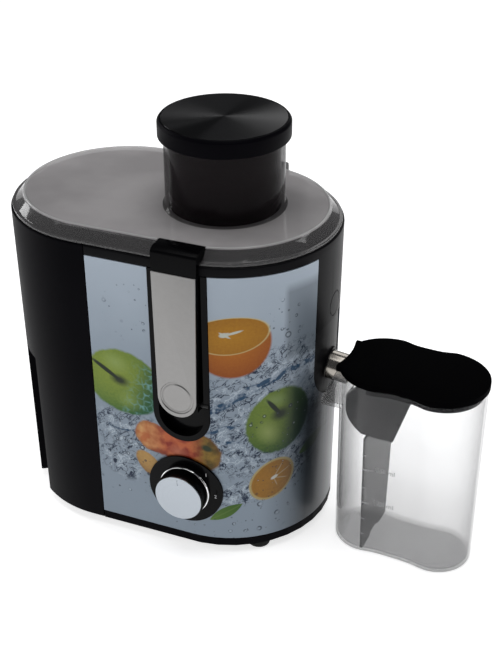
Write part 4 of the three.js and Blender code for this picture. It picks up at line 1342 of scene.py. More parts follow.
@dataclass
class Maker:
    """What every sub-assembly needs: the finishes, and a way to stand a shape in the scene."""

    finishes: Finishes

    def stand(
        self,
        name: str,
        shape: Shape,
        finish: str,
        body: str,
        slot_name: str,
        replaces: Sequence[str] = (),
        place: Matrix = DRIVE,
        sharp: float = SHARP,
        mapped: Callable[[Vector], tuple[float, float]] | None = None,
    ) -> bpy.types.Object:
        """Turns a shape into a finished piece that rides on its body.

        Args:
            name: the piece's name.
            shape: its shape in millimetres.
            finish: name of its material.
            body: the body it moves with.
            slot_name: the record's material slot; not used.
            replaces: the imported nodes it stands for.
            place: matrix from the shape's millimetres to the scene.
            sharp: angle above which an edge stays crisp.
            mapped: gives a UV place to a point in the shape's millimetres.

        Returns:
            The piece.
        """
        mesh = shape.mesh
        for face in mesh.faces:
            face.smooth = True
        for edge in mesh.edges:
            edge.smooth = edge.calc_face_angle(0) < sharp
        if mapped is not None:
            layer = mesh.loops.layers.uv.new("sheet")
            for face in mesh.faces:
                for loop in face.loops:
                    loop[layer].uv = mapped(loop.vert.co)
        mesh.transform(place)
        data = bpy.data.meshes.new(name)
        mesh.to_mesh(data)
        mesh.free()
        data.materials.append(self.finishes[finish])
        piece = bpy.data.objects.new(name, data)
        bpy.context.scene.collection.objects.link(piece)
        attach(piece, body)
        if replaces:
            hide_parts(*replaces)
        log.info("%s: %d faces, on %s", name, len(data.polygons), body)
        return piece

    def lettering(self, words: str, size: float, deep: float) -> Shape:
        """Makes raised figures, flat in x and z and facing the front.

        Args:
            words: the figures.
            size: their height in millimetres.
            deep: how far they stand out.

        Returns:
            The shape, centred.
        """
        curve = bpy.data.curves.new("figures", "FONT")
        curve.body = words
        curve.size = size
        curve.extrude = deep / 2
        curve.align_x = "CENTER"
        curve.align_y = "CENTER"
        holder = bpy.data.objects.new("figures", curve)
        bpy.context.scene.collection.objects.link(holder)
        bpy.context.view_layer.update()
        data = bpy.data.meshes.new_from_object(holder)
        bpy.data.objects.remove(holder)
        shape = Shape()
        shape.mesh.from_mesh(data)
        bpy.data.meshes.remove(data)
        return shape.close().moved(Matrix.Rotation(HALF_TURN / 2, 4, "X"))


# ---------------------------------------------------------------- casing


@dataclass
class Casing(Maker):
    """The drafted oval body: printed wrap, pulp container, and what both stand on."""

    left: float = -73.12
    right: float = 3.3
    foot_z: float = 6.2
    foot_radius: float = 70.6
    rim_z: float = 218.5
    rim_radius: float = 73.06
    wall: float = 2.4
    seam: float = -63.6
    plinth_top: float = 12.2
    band_z: float = 212.3
    sheet: float = 0.8
    gap: float = 0.3
    grip_top: float = 117
    grip_deep: float = 6
    grip_from: float = math.radians(33)
    grip_to: float = math.radians(54)
    feet: tuple[Corner, ...] = ((42.9, -47.3), (42.9, 47.3), (-108, -40), (-108, 40))
    clamp_x: float = -1.2
    clamp_half: float = 19.35
    clamp_low: float = 88.8
    apron_half: float = 23.75
    apron_low: float = 105
    knob_z: float = 50.3

    def radius(self, z: float) -> float:
        """Returns the half width at a height."""
        rise = (z - self.foot_z) / (self.rim_z - self.foot_z)
        return self.foot_radius + (self.rim_radius - self.foot_radius) * rise

    def corner(self, offset: float, z: float, soft: float = 0) -> Corner:
        """Returns a corner of a section at an offset from the outside, rounded where it is soft."""
        return (self.radius(z) + offset, z, soft) if soft else (self.radius(z) + offset, z)

    def solid(self, offset: float, z0: float, z1: float, soft_low: float = 0, soft_high: float = 0) -> Shape:
        """Makes a solid that follows the draft.

        Args:
            offset: how far outside the casing it lies.
            z0: its underside.
            z1: its top.
            soft_low: rounding of its lower rim.
            soft_high: rounding of its upper rim.

        Returns:
            The solid.
        """
        low, high = self.corner(offset, z0, soft_low), self.corner(offset, z1, soft_high)
        return oval([(0, z0), low, high, (0, z1)], self.left, self.right)

    def shell(self, inner: float, outer: float, z0: float, z1: float, soft: float = 0) -> Shape:
        """Makes a shell that follows the draft.

        Args:
            inner: offset of its inside from the casing's outside.
            outer: offset of its outside.
            z0: its underside.
            z1: its top.
            soft: rounding of its outer rims.

        Returns:
            The shell.
        """
        corners = [
            self.corner(inner, z0), self.corner(outer, z0, soft),
            self.corner(outer, z1, soft), self.corner(inner, z1),
        ]
        return oval(corners, self.left, self.right)

    def along_sheet(self, point: Vector) -> tuple[float, float]:
        """Finds a point's place on the sheet.

        Args:
            point: a point in millimetres.

        Returns:
            How far it is round from the front of the right end, and its height, both over 100.
        """
        quarter = self.radius(100) * HALF_TURN / 2
        if point.x <= self.right:
            along = point.x - self.right
            if point.y > 0:
                along = 2 * quarter - along
        else:
            along = math.atan2(point.x - self.right, -point.y) * self.radius(100)
        return along / 100, point.z / 100

    def clamp_opening(self) -> Shape:
        """Makes the space for the front clamp's frame."""
        return slab(slot(self.clamp_x, self.clamp_half + self.gap, self.clamp_low - self.gap, 230), -95, -40)

    def apron_space(self, margin: float) -> Shape:
        """Makes the space of the apron at the right end."""
        return slab(slot(0, self.apron_half + margin, self.apron_low - margin, 230), 40, 100, side_on=True)

    def build(self) -> None:
        """Builds and stands the wrap, the pulp container and the feet."""
        everything_left = block((-200, self.seam + self.gap), (-100, 100), (-10, 300))
        wrap = self.shell(-self.sheet, 0, self.plinth_top + self.gap, self.band_z - self.gap, 0.25)
        opening = self.clamp_opening()
        knob_hole = turned([(0, -90), (6.5, -90), (6.5, -50), (0, -50)], SMALL, Lie.BACK, (0, 0, self.knob_z))
        lead_hole = turned([(0, 50), (5.3, 50), (5.3, 90), (0, 90)], SMALL, Lie.BACK, (-30, 0, 26))
        wrap.cut(everything_left, opening, to_rear(opening), self.apron_space(self.gap), knob_hole, lead_hole)
        self.stand(
            "printed_wrap_sheet", wrap, "printed_steel_lacquer", "housing", "printed_steel",
            ["printed_wrap"], mapped=self.along_sheet,
        )
        self.pulp_container()
        for number, (x, y) in enumerate(self.feet, 1):
            foot = turned(
                [
                    (0, 0), (5.4, 0, 0.3), (5.8, 0.6, 0.2), (7.3, 0.6, 0.6), (7.9, 2.4, 0.6), (7.9, 5.9),
                    (0, 5.9),
                ],
                SMALL,
                at=(x, y, 0),
            )
            self.stand(f"rubber_foot_{number}", foot, "black_rubber", "housing", "rubber", [f"foot_{number}"])

    def grip(self, deep: float, margin: float) -> Shape:
        """Makes the space of the front finger grip at the container's end.

        Args:
            deep: its depth.
            margin: how much larger it is made all round.

        Returns:
            The space.
        """
        reach, spread = 120, margin / self.foot_radius
        points = [(self.left, 0.0)]
        for angle in (self.grip_from - spread, self.grip_to + spread):
            points.append((self.left - reach * math.cos(angle), -reach * math.sin(angle)))
        top = self.grip_top + margin
        return upright(points, 0, top).within(self.shell(-deep - margin, 3, self.foot_z - 1, top))

    def pulp_container(self) -> None:
        """Builds and stands the container for the pulp."""
        floor = 8.9 + self.gap
        seam = block((self.seam - self.gap, 200), (-100, 100), (-10, 300))
        body = self.solid(0, self.foot_z, self.rim_z, 0.9, 0.8)
        grip, backing = self.grip(self.grip_deep, 0), self.grip(self.grip_deep, self.wall)
        hollow = self.solid(-self.wall, floor + self.wall, self.rim_z + 1)
        inner_seam = block((self.seam - self.gap - self.wall, 200), (-100, 100), (-10, 300))
        hollow.cut(inner_seam, backing, to_rear(backing))
        underside = self.solid(-self.wall, self.foot_z - 1, floor).cut(backing, to_rear(backing))
        mouth = block((self.seam - 10, self.seam), (-44, 44), (196, self.rim_z + 1))
        body.cut(seam, grip, to_rear(grip), hollow, underside, mouth)
        self.stand(
            "pulp_container_shell", body, "charcoal_plastic", "pulp_bin", "charcoal_plastic",
            ["pulp_container"],
        )


# ---------------------------------------------------------------- bowl, spout and basket


@dataclass
class Bowl(Maker):
    """Juice bowl with its rim deck and apron, the steel spout, and the basket that spins in it."""

    casing: Casing = field(kw_only=True)
    inside: float = 61.3
    outside: float = 63.2
    floor: float = 111.4
    floor_top: float = 113.4
    tilt: float = math.radians(7)
    spout_z: float = 123.7

    def along_spout(self, corners: Sequence[Corner]) -> Shape:
        """Makes a turned shape on the spout's axis.

        Args:
            corners: (radius, distance from the drive axis) round the section.

        Returns:
            The shape.
        """
        pivot = self.casing.right + self.casing.radius(self.spout_z)
        shape = turned([(r, x - pivot) for r, x in corners], SMALL + 16, Lie.ACROSS)
        return shape.moved(Matrix.Translation((pivot, 0, self.spout_z)) @ Matrix.Rotation(self.tilt, 4, "Y"))

    def build(self) -> None:
        """Builds and stands the bowl, the spout and the basket."""
        case = self.casing
        cup = turned(
            [
                (self.inside, case.band_z + 2), (self.outside, case.band_z + 2),
                (self.outside, self.floor, 2.5), (12, self.floor), (12, 127), (14, 127, 0.8),
                (14, self.floor_top, 1.2),
                (self.inside, self.floor_top, 2.2),
            ],
            FINE,
        )
        bore = turned([(0, 211), (self.inside, 211), (self.inside, 220), (0, 220)], FINE)
        deck = case.solid(0, case.band_z, case.rim_z, 0.35, 0.9)
        deck.cut(
            case.solid(-3, case.band_z + 2, case.rim_z + 1), bore,
            block((-200, case.seam + case.gap), (-100, 100), (-10, 300)),
        )
        apron = case.shell(-case.wall, 0, 105, case.band_z + 1).within(case.apron_space(0))
        apron.cut(case.shell(-1, 1, 104, 159.5).within(case.apron_space(1)))
        boss = self.along_spout([(0, self.inside + 0.6), (11.75, self.inside + 0.6), (11.75, 74), (0, 74)])
        sill = block((-80, -30), (-42, 42), (197, 220))
        passage = self.along_spout([(0, 50), (10.05, 50), (10.05, 100), (0, 100)])
        cup.add(deck, apron, boss)
        cup.cut(sill, passage)
        outer = case.right + case.radius(158.5)
        recess = turned(
            [(7.9, outer - 0.5), (8.6, outer - 0.5), (8.6, outer + 2), (7.9, outer + 2)], SMALL, Lie.ACROSS
        )
        cup.cut(recess.moved(Matrix.Translation((0, 0, 170))))
        self.stand(
            "juice_bowl_shell", cup, "dark_satin_plastic", "housing", "charcoal_plastic", ["juice_bowl"]
        )

        tube = self.along_spout([(8.8, 61.4), (9.75, 61.4), (9.75, 87.2), (9.75, 88), (8.8, 88)])
        self.stand("steel_spout", tube, "stainless_steel", "housing", "stainless_steel", ["spout"])
        self.basket()

    def basket(self) -> None:
        """Builds and stands the basket: steel rim, fine sieve wall and base."""
        rim = turned(
            [
                (57.2, 196.6), (59.5, 196.6, 0.4), (59.5, 202.5, 0.9), (56.2, 202.5, 0.9), (56.2, 198.2),
                (56.6, 196.6),
            ],
            FINE,
        )
        base = turned(
            [(0, 131.3), (38, 131.3, 1.5), (39.6, 137.5), (38.9, 137.7), (37.2, 132.9, 1.2), (0, 132.9)], FINE
        )
        self.stand(
            "basket_rim_and_base", rim.beside(base), "stainless_steel", "drive", "stainless_steel",
            ["filter_basket"],
        )
        wall = turned([(39.2, 137.3), (39.9, 137.1), (57.4, 197.0), (56.7, 197.2)], FINE)

        def round_wall(point: Vector) -> tuple[float, float]:
            """Returns a point's place on the sieve, in millimetres."""
            return math.atan2(point.y, point.x) * 48, point.z

        self.stand("basket_sieve", wall, "sieve_steel", "drive", "stainless_steel", mapped=round_wall)


# ---------------------------------------------------------------- lid and pusher


@dataclass
class Cover(Maker):
    """Smoky lid with its feed chute, and the pusher that stands in the chute."""

    casing: Casing = field(kw_only=True)
    foot: float = 218.8
    flange_top: float = 220.6
    flange_radius: float = 71.9
    top: float = 227.4
    top_radius: float = 63.4
    wall: float = 2.0
    chute_radius: float = 38.2
    chute_bore: float = 35.4
    chute_top: float = 273.4
    ledge_ends: Corner = (-18.85, 16.45)
    pusher_radius: float = 33.6
    pusher_bore: float = 31.6
    cap_radius: float = 41.8
    cap_top: float = 285.2

    def pocket(self, shell: Shape, outer: Shape) -> Shape:
        """Adds the ledge and pocket that the front clamp hooks over.

        Args:
            shell: the lid.
            outer: the lid without its hollow.

        Returns:
            The lid with the pocket.
        """
        whole = outer.copied(Matrix.Identity(4))
        x0, x1 = self.ledge_ends
        ledge = whole.within(block((x0, x1), (-80, -58.6), (self.foot, self.top)))
        inside = block((x0 + self.wall, x1 - self.wall), (-90, -61.6), (self.flange_top, 300))
        return shell.add(ledge).cut(inside)

    def build(self) -> None:
        """Builds and stands the lid, the chute and the pusher."""
        case = self.casing
        shoulder = self.flange_radius - self.wall
        outer = oval(
            [
                (0, self.foot), (self.flange_radius, self.foot, 0.3),
                (self.flange_radius, self.flange_top, 0.6),
                (shoulder, self.flange_top, 0.5), (self.top_radius + 1.3, self.top - 1.2, 0.6),
                (self.top_radius + 0.9, self.top + 0.5, 0.5), (self.top_radius - 0.3, self.top + 0.5, 0.4),
                (self.top_radius - 0.7, self.top, 0.3), (0, self.top),
            ],
            case.left, case.right,
        )
        inner = oval(
            [
                (0, self.foot - 1), (shoulder - self.wall, self.foot - 1),
                (shoulder - self.wall, self.foot + 1),
                (self.top_radius - 1, self.top - self.wall), (0, self.top - self.wall),
            ],
            case.left, case.right,
        )
        shell = outer.copied(Matrix.Identity(4)).cut(inner)
        shell = self.pocket(shell, outer)
        mirror = Matrix.Diagonal((1, -1, 1, 1))
        shell = self.pocket(shell.moved(mirror), outer).moved(mirror)
        plug = turned([(0, 200), (35.8, 200), (35.8, 240), (0, 240)], FINE)
        shell.cut(plug)
        self.stand("smoky_lid", shell, "smoky_plastic", "housing", "smoky_plastic", ["lid"])

        chute = turned(
            [
                (36, 142.5, 0.4), (36, 226.9), (39.6, 226.9), (39.9, 227.7, 0.3),
                (self.chute_radius, 229.6, 1.2),
                (self.chute_radius, self.chute_top, 0.6), (self.chute_bore, self.chute_top, 0.6),
                (self.chute_bore, 225.4), (34.3, 223.4), (34.3, 142.5, 0.4),
            ],
            FINE,
        )
        self.stand("feed_chute", chute, "smoky_chute", "housing", "smoky_plastic")
        self.pusher()

    def pusher(self) -> None:
        """Builds and stands the pusher's four pieces."""
        sleeve = turned(
            [
                (0, 242.6), (self.pusher_radius, 242.6, 0.5), (self.pusher_radius, self.chute_top),
                (self.pusher_bore, self.chute_top), (self.pusher_bore, 244.6, 0.8), (0, 244.6),
            ],
            FINE,
        )
        self.stand(
            "pusher_sleeve_clear", sleeve, "smoky_sleeve", "pusher", "smoky_plastic", ["pusher_sleeve"]
        )
        foot = turned(
            [
                (0, 146), (self.pusher_radius, 146, 3), (self.pusher_radius, 242.3, 0.4),
                (self.pusher_bore, 242.3, 0.4), (self.pusher_bore, 151, 2), (0, 151),
            ],
            FINE,
        )
        self.stand(
            "pusher_foot_black", foot, "gloss_black_plastic", "pusher", "gloss_black_plastic", ["pusher_foot"]
        )
        cap = turned(
            [
                (0, 273.7), (self.cap_radius, 273.7, 0.8), (self.cap_radius, 283.5, 0.5),
                (40.4, self.cap_top, 0.35), (39.6, self.cap_top, 0.15), (39.6, 283.9), (0, 283.9),
            ],
            FINE,
        )
        self.stand("pusher_cap_body", cap, "charcoal_plastic", "pusher", "charcoal_plastic", ["pusher_cap"])
        disc = turned([(0, 284.2), (39.3, 284.2), (39.3, 285.4, 0.3), (0, 285.4)], FINE)
        self.stand("spun_cap_disc", disc, "spun_black_disc", "pusher", "gloss_black_plastic", ["cap_disc"])


# ---------------------------------------------------------------- clamps


@dataclass
class Clamps(Maker):
    """The two side clamps: well, arm and silver plate, at the front and at the rear."""

    casing: Casing = field(kw_only=True)
    arm_x: float = -0.9
    low: float = 110.8
    top: float = 228.0
    half_low: float = 13.5
    half_top: float = 15.1
    inner: float = 73.6
    outer: float = 77.0
    pocket_half: float = 15.65
    pocket_low: float = 92.7
    pocket_back: float = 66
    pin_radius: float = 2.3
    pin_half: float = 18.9
    pin_y: float = -69.6
    pin_z: float = 119
    knuckle: float = 3.1
    hook_low: float = 221.1
    hook_tip: float = -62.8
    plate_top: float = 213
    dimple: float = 11.6
    dimple_z: float = 125.4

    def across(self, radius: float, ends: Corner, x: float = 0) -> Shape:
        """Makes a round bar on the clamp's pin.

        Args:
            radius: its radius.
            ends: its two ends along the pin.
            x: the middle that the ends are counted from.

        Returns:
            The bar.
        """
        section = [(0, ends[0]), (radius, ends[0]), (radius, ends[1]), (0, ends[1])]
        return turned(section, SMALL, Lie.ACROSS, (x, self.pin_y, self.pin_z))

    def well(self) -> Shape:
        """Makes the frame with its pocket.

        Returns:
            The shape.
        """
        case = self.casing
        x, roof = case.clamp_x, case.band_z - case.gap
        body = slab(slot(x, case.clamp_half, case.clamp_low, roof), -90, -64)
        body.within(case.solid(case.gap, 80, case.band_z))
        body.cut(slab(slot(x, self.pocket_half, self.pocket_low, 230), -95, -self.pocket_back))
        return body.cut(self.across(self.pin_radius, (-self.pin_half, self.pin_half), x))

    def arm(self) -> Shape:
        """Makes the arm with its hook, its knuckle and the sloping top edge.

        Returns:
            The shape.
        """
        x, front, top = self.arm_x, -self.outer, self.top
        face = slab(slot(x, self.half_low, self.low, top, self.half_top), front, -self.inner)
        x0, x1 = x - self.half_top, x + self.half_top
        hook = slab(
            [
                (front + 1, self.hook_low), (self.hook_tip, self.hook_low, 0.4),
                (self.hook_tip, top, 0.7), (front + 1, top),
            ],
            x0, x1, side_on=True,
        )
        ends = (x - self.half_low, x + self.half_low)
        web = block(ends, (front + 1, self.pin_y), (self.pin_z - 2.6, self.pin_z + 2.6))
        slope = slab(
            [
                (front - 4, top - 4.5), (front, top - 3.6), (front + 0.9, top - 1.4), (front + 3.6, top),
                (front + 3.6, top + 4), (front - 4, top + 4),
            ],
            x0 - 1, x1 + 1, side_on=True,
        )
        pin = self.across(self.pin_radius, (-40, 40), self.casing.clamp_x)
        return face.add(hook, self.across(self.knuckle, ends), web).cut(slope, pin)

    def plate(self) -> Shape:
        """Makes the silver plate with its round finger dimple.

        Returns:
            The shape.
        """
        front, back, round_half = -self.outer - 1.1, -self.outer - 0.3, self.half_low - 0.4
        outline = slot(self.arm_x, round_half, self.low + 0.4, self.plate_top, self.half_top - 0.4)
        body = slab(outline, front, back)
        body.rounded(lambda edge: all(v.co.y < front + TOUCHING for v in edge.verts), 0.35, 2)
        dimple = turned(
            [
                (0, front - 2), (self.dimple, front - 2), (self.dimple, front - 0.02),
                (self.dimple - 0.5, front + 0.65, 0.2), (10.2, front + 0.65, 0.2), (9.5, front + 0.1, 0.3),
                (6.0, front + 0.2), (0, front + 0.5),
            ],
            FINE, Lie.BACK, (self.arm_x, 0, self.dimple_z),
        )
        return body.cut(dimple)

    def build(self) -> None:
        """Builds and stands both clamps."""
        for side, arm_body in (("front", "clamp_front"), ("rear", "clamp_rear")):
            turn: Callable[[Shape], Shape] = to_rear if side == "rear" else lambda shape: shape
            self.stand(
                f"clamp_well_{side}", turn(self.well()), "gloss_black_plastic", "housing",
                "gloss_black_plastic", [f"clamp_frame_{side}"],
            )
            self.stand(
                f"clamp_lever_{side}", turn(self.arm()), "gloss_black_plastic", arm_body, "charcoal_plastic",
                [f"clamp_arm_{side}"],
            )
            self.stand(
                f"clamp_silver_plate_{side}", turn(self.plate()), "satin_silver", arm_body, "satin_silver",
                [f"clamp_plate_{side}"],
            )


# ---------------------------------------------------------------- speed knob


@dataclass
class Knob(Maker):
    """Speed knob with its surround, bright ring, face and plain figures."""

    casing: Casing = field(kw_only=True)
    back: float = 72.9
    front: float = 83.3
    surround_radius: float = 25.8
    hole: float = 6.5
    dial_radius: float = 22.2
    figures: tuple[tuple[str, int], ...] = (("0", 0), ("1", 45), ("2", 90))
    figure_high: float = 3.6
    raised: float = 0.2
    face_radius: float = 16.4

    def disc(self, corners: Sequence[Corner], steps: int = FINE) -> Shape:
        """Makes a turned shape on the knob's axis; heights are y."""
        return turned(corners, steps, Lie.BACK, (0, 0, self.casing.knob_z))

    def build(self) -> None:
        """Builds and stands the knob."""
        case = self.casing
        proud = 1.5
        surround = case.shell(case.gap, proud, 10, 100)
        edge = self.surround_radius
        surround.within(self.disc([(0, -90), (edge, -90), (edge, -40), (0, -40)]))
        surround.cut(self.disc([(0, -95), (self.hole, -95), (self.hole, -30), (0, -30)], SMALL))
        self.stand(
            "knob_surround", surround, "gloss_black_plastic", "housing", "gloss_black_plastic", ["knob_bezel"]
        )
        face_y = -case.radius(case.knob_z) - proud
        for figure, angle in self.figures:
            turn = math.radians(angle)
            x, rise = self.dial_radius * math.sin(turn), self.dial_radius * math.cos(turn)
            place = Matrix.Translation((x, face_y, case.knob_z + rise))
            mark = self.lettering(figure, self.figure_high, self.raised).moved(place)
            self.stand(f"dial_figure_{figure}", mark, "mark_white", "housing", "gloss_black_plastic")

        ring = self.disc([(6, -74.1), (17.6, -74.1, 0.3), (18, -self.back, 0.3), (6, -self.back)])
        self.stand("knob_bright_ring", ring, "chrome_trim", "knob", "chrome_trim", ["knob_ring"])
        base, front = -self.back - 1.5, -self.front
        grip = self.disc(
            [
                (0, base + 4), (3.3, base + 4), (3.3, base), (17.2, base, 0.3), (16.9, front + 1.2, 0.5),
                (16.5, front + 0.95), (0, front + 0.95),
            ]
        )
        self.stand("knob_grip", grip, "gloss_black_plastic", "knob", "charcoal_plastic", ["knob_body"])
        face = self.disc(
            [(0, front + 0.7), (self.face_radius, front + 0.7), (self.face_radius, front, 0.35), (0, front)]
        )
        low, high = case.knob_z + 10.5, case.knob_z + 15
        face.cut(slab([(-0.45, low), (0.45, low), (0.45, high), (-0.45, high)], front - 1, front + 0.25))
        self.stand("knob_silver_face", face, "spun_silver_face", "knob", "satin_silver", ["knob_face"])


# ---------------------------------------------------------------- jug


@dataclass
class Jug(Maker):
    """Waisted clear jug with its divider, dark lid and froth guard, about its own middle."""

    half_low: float = 23.9
    half_top: float = 18.3
    radius_low: float = 23.6
    radius_top: float = 30.0
    rim: float = 134.5
    wall: float = 1.8
    waist: float = 2.6
    lip_half: float = 18.6
    lip_reach: float = -55.6
    lip_floor: float = 107.6
    lid_top: float = 138.8
    lid_radius: float = 30.57
    plug_low: float = 129.5
    divider_ends: Corner = (-22.3, -20.7)
    divider_top: float = 95
    figures: tuple[tuple[str, float], ...] = (("150 ml", 43.6), ("250 ml", 71.4))
    ticks: Corner = (16.5, 29.8, 56.3, 83.0)
    raised: float = 0.16
    guard_low: float = 95.4
    guard_radius: float = 22.6
    guard_wall: float = 1.6
    guard_offset: float = 3.1

    def dip(self, share: float) -> float:
        """Returns how far the waist draws the side in, at a share of the way along it."""
        bow = max(0.0, 4 * share * (1 - share))
        return self.waist * bow * bow * (3 - 2 * bow)

    def plan(self, inset: float) -> list[Corner]:
        """Draws the plan at the rim: round ends joined by waisted sides.

        Args:
            inset: how far inside the jug's outside it lies.

        Returns:
            Its outline.
        """
        radius = self.radius_top - inset
        steps, sides = 24, 12
        points: list[Corner] = []
        for side in (1, -1):
            for i in range(steps + 1):
                angle = -HALF_TURN / 2 + HALF_TURN * i / steps
                x, y = self.half_top + radius * math.cos(angle), radius * math.sin(angle)
                points.append((side * x, side * y))
            for i in range(1, sides):
                share = i / sides
                points.append((side * self.half_top * (1 - 2 * share), side * (radius - self.dip(share))))
        return points

    def size_at(self, z: float) -> Corner:
        """Finds the jug's size at a height.

        Args:
            z: the height.

        Returns:
            Half its straight side, and the radius of its round ends.
        """
        rise = z / self.rim
        half = self.half_low + (self.half_top - self.half_low) * rise
        return half, self.radius_low + (self.radius_top - self.radius_low) * rise

    def solid(self, inset: float, z0: float, z1: float, soft: float = 0.0) -> Shape:
        """Makes an upright solid on the plan that narrows downwards as the jug does.

        Args:
            inset: how far inside the jug's outside it lies.
            z0: its underside.
            z1: its top.
            soft: rounding of its lower edge.

        Returns:
            The solid.
        """
        shape = upright(self.plan(inset), z0, z1)
        if soft:
            shape.rounded(lambda edge: all(v.co.z < z0 + TOUCHING for v in edge.verts), soft, ROUNDING_STEPS)
        for vert in shape.mesh.verts:
            half, radius = self.size_at(vert.co.z)
            middle = max(-self.half_top, min(self.half_top, vert.co.x))
            scale = radius / self.radius_top
            vert.co.x = middle * half / self.half_top + (vert.co.x - middle) * scale
            vert.co.y *= scale
        return shape

    def lip(self, inset: float) -> Shape:
        """Makes the short channel that reaches under the spout.

        Args:
            inset: how far inside its outside it lies.

        Returns:
            The solid.
        """
        left, right = self.lip_reach + inset, -self.half_top - 10
        low, high = self.lip_floor + inset, self.rim + inset
        corners = [(left, low, 1.0), (right, low), (right, high), (-46.2, high), (left, low + 4)]
        return slab(corners, -self.lip_half + inset, self.lip_half - inset)

    def build(self) -> None:
        """Builds and stands the jug's pieces."""
        cavity = self.solid(self.wall, self.wall, self.rim + 1, 2.0)
        cavity.add(self.lip(self.wall), self.lip(self.wall).moved(Matrix.Translation((-3, 0, 2.5))))
        body = self.solid(0, 0, self.rim, 2.4).add(self.lip(0)).cut(cavity)
        self.stand("clear_jug", body, "clear_plastic", "jug", "clear_plastic", ["jug"], JUG)

        divider = block(self.divider_ends, (-40, 40), (2.1, self.divider_top))
        divider.within(self.solid(self.wall + 0.15, 1, self.rim))
        divider.cut(block((-24, -19), (-7, 7), (0, 5.3)))
        self.stand("jug_divider", divider, "clear_divider", "jug", "clear_plastic", (), JUG)
        self.marks()
        self.lid()

    def front_wall(self, x: float, z: float) -> float:
        """Finds the front wall's outside near the waist.

        Args:
            x: a place along the jug.
            z: a height.

        Returns:
            Its y.
        """
        half, radius = self.size_at(z)
        return -(self.radius_top - self.dip((1 - x / half) / 2)) * radius / self.radius_top

    def marks(self) -> None:
        """Builds and stands the volume marks on the front wall."""
        marks = Shape()
        for figure, z in self.figures:
            y = self.front_wall(-19, z) - 0.02
            tick = block((-22.0, -17.0), (y, y + self.raised), (z - 0.35, z + 0.35))
            place = Matrix.Translation((-7.1, self.front_wall(-7, z) + 0.06, z + 0.8))
            marks.beside(tick, self.lettering(figure, 5.2, self.raised).moved(place))
        for z in self.ticks:
            y = self.front_wall(-20, z) - 0.02
            marks.beside(block((-22.0, -19.0), (y, y + self.raised), (z - 0.25, z + 0.25)))
        self.stand("jug_volume_marks", marks, "mark_grey", "jug", "clear_plastic", (), JUG)

    def lid(self) -> None:
        """Builds and stands the lid and the froth guard under it."""
        base, top = self.rim + 0.3, self.lid_top
        plate = upright(self.plan(self.radius_top - self.lid_radius), base, top)
        plate.add(block((-46.4, -30), (-17.6, 17.6), (base, top)))
        plate.rounded(
            lambda edge: all(v.co.z > top - TOUCHING for v in edge.verts) and edge.calc_face_angle(0) > SHARP,
            1.1, ROUNDING_STEPS, held=True,
        )
        plug = self.solid(self.wall + 0.5, self.plug_low, base + 1)
        plug.cut(self.solid(self.wall + 2.1, 128.5, base), block((-60, -22), (-60, 60), (128, base)))
        scoop = turned([(0, 110), (52, 110), (52, 145), (0, 145)], 128, at=(-96.2, 0, 0))
        plate.add(plug).cut(scoop)
        self.stand(
            "jug_cover", plate, "matte_black_plastic", "jug_cover", "charcoal_plastic", ["jug_lid"], JUG
        )
        self.stand(
            "froth_skirt", self.guard(), "smoke_grey_plastic", "jug_cover", "smoke_grey_plastic",
            ["froth_guard"], JUG,
        )

    def guard(self) -> Shape:
        """Makes the curved skirt that holds the froth back.

        Returns:
            The shape.
        """
        low, top, outer = self.guard_low, self.rim, self.guard_radius
        wall = self.sleeve(outer, low, top).cut(self.sleeve(outer - self.guard_wall, low - 1, top + 1))
        outline = [(-47.5, low + 9.5), (-26, top + 2), (9, top + 2), (-4.5, low - 2), (-21, low - 2)]
        sides = slab(outline, -40, 40)
        wall.within(sides, block((-60, 60), (-60, 4), (0, 200)))
        web = block((-24, 8), (-outer + 0.4, -outer + 9), (top - 1.8, top))
        return wall.add(web.within(self.sleeve(outer, low, top)))

    def sleeve(self, radius: float, z0: float, z1: float) -> Shape:
        """Makes an upright prism with one round end, under the lid.

        Args:
            radius: half its width.
            z0: its underside.
            z1: its top.

        Returns:
            The solid.
        """
        left = -self.half_top - self.guard_offset - radius
        bend = (radius * ALMOST_ALL, 16)
        return upright([(12, -radius), (12, radius), (left, radius, *bend), (left, -radius, *bend)], z0, z1)


# ---------------------------------------------------------------- studio


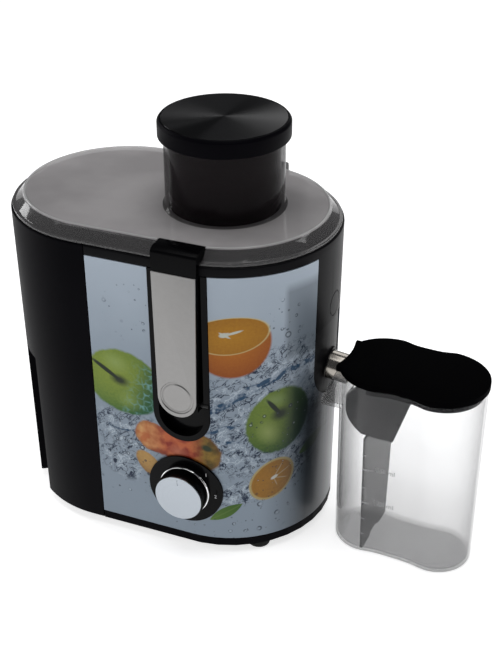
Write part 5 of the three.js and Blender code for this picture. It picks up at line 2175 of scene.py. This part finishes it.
@dataclass
class Studio:
    """Pale floor, soft lights and the camera."""

    lens: float = 69.35
    lights: tuple[Any, ...] = (
        ("key_softbox", (-1.0, -1.0, 0.75), (0, 0, 0.12), 0.8, 0.8, 3.2),
        ("top_softbox", (0.0, 0.0, 1.7), (0, 0, 0.15), 1.2, 1.2, 11.0),
        ("rear_softbox", (-0.15, 1.35, 1.0), (0, 0, 0.2), 0.6, 0.9, 2.4),
        ("left_strip", (-1.3, 0.25, 0.6), (0, 0, 0.15), 0.25, 0.9, 4.0),
        ("right_strip", (1.25, 0.45, 0.6), (0.05, 0, 0.15), 0.3, 1.0, 3.0),
    )
    look_from: Corner = (0.2799, -0.6833, 0.5743)
    look_at: Corner = (-0.0003, 0.0026, 0.1333)

    def build(self) -> None:
        """Stands the floor, the lights and the camera."""
        self.floor()
        self.world()
        for light in self.lights:
            self.light(*light)
        self.camera()

    def floor(self) -> None:
        """Makes the floor."""
        mesh = bmesh.new()
        bmesh.ops.create_grid(mesh, x_segments=8, y_segments=8, size=30)
        data = bpy.data.meshes.new("studio_floor")
        mesh.to_mesh(data)
        mesh.free()
        board = Board("pale_floor")
        broad = board.noise(board.place(), 3)
        board.set(Base_Color=board.blend(broad, (0.90, 0.90, 0.905), (0.93, 0.93, 0.935)), Roughness=0.9)
        board.set(Specular_IOR_Level=0.05, Emission_Color=(1, 1, 1), Emission_Strength=0.72)
        data.materials.append(board.material)
        floor = bpy.data.objects.new("studio_floor", data)
        bpy.context.scene.collection.objects.link(floor)

    def world(self) -> None:
        """Sets the even light of the room."""
        world = bpy.data.worlds.new("room")
        world.use_nodes = True
        backdrop = world.node_tree.nodes["Background"].inputs
        backdrop["Color"].default_value = (0.93, 0.95, 1.0, 1)
        backdrop["Strength"].default_value = 0.1
        bpy.context.scene.world = world
        bpy.context.scene.view_settings.view_transform = "Standard"

    def light(self, name: str, at: Corner, towards: Corner, wide: float, high: float, power: float) -> None:
        """Hangs one soft rectangular light.

        Args:
            name: its name.
            at: where it hangs.
            towards: the point that it faces.
            wide: its width.
            high: its height.
            power: its power in watts.
        """
        data = bpy.data.lights.new(name, "AREA")
        data.shape = "RECTANGLE"
        data.size, data.size_y, data.energy = wide, high, power
        lamp = bpy.data.objects.new(name, data)
        lamp.location = at
        lamp.rotation_euler = (Vector(towards) - Vector(at)).to_track_quat("-Z", "Y").to_euler()
        bpy.context.scene.collection.objects.link(lamp)

    def camera(self) -> None:
        """Stands the camera in front, a little to the right and above."""
        low, high = CAD_BOX
        middle = (low + high) / 2
        middle.z = 0
        towards, at = middle + Vector(self.look_at), middle + Vector(self.look_from)
        data = bpy.data.cameras.new("studio_camera")
        data.sensor_width, data.lens = 36, self.lens
        camera = bpy.data.objects.new("studio_camera", data)
        camera.location = at
        camera.rotation_euler = (towards - at).to_track_quat("-Z", "Y").to_euler()
        bpy.context.scene.collection.objects.link(camera)
        bpy.context.scene.camera = camera


def dress_packed_nodes(finishes: Finishes) -> None:
    """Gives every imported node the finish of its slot.

    Args:
        finishes: the finishes; a slot's finish has its name unless FINISH_OF_SLOT gives another.
    """
    slots = {part["node"]: part["material_slot"] for part in frame["record"]["subparts"]}
    for name, node in frame["nodes"].items():
        slot_name = slots[name]
        pin = name.startswith("clamp_pin")
        finish = "blackened_steel" if pin else FINISH_OF_SLOT.get(slot_name, slot_name)
        node.data.materials.clear()
        node.data.materials.append(finishes[finish])
        if not node.hide_render:
            log.info("%s: packed node, dressed", name)


def main() -> None:
    """Builds everything in order."""
    logging.basicConfig(level=logging.INFO, format="%(name)s %(message)s")
    finishes = Finishes()
    casing = Casing(finishes)
    casing.build()
    for assembly in (Bowl, Cover, Clamps, Knob):
        assembly(finishes, casing=casing).build()
    Jug(finishes).build()
    dress_packed_nodes(finishes)
    Studio().build()


if __name__ == "__main__":
    main()
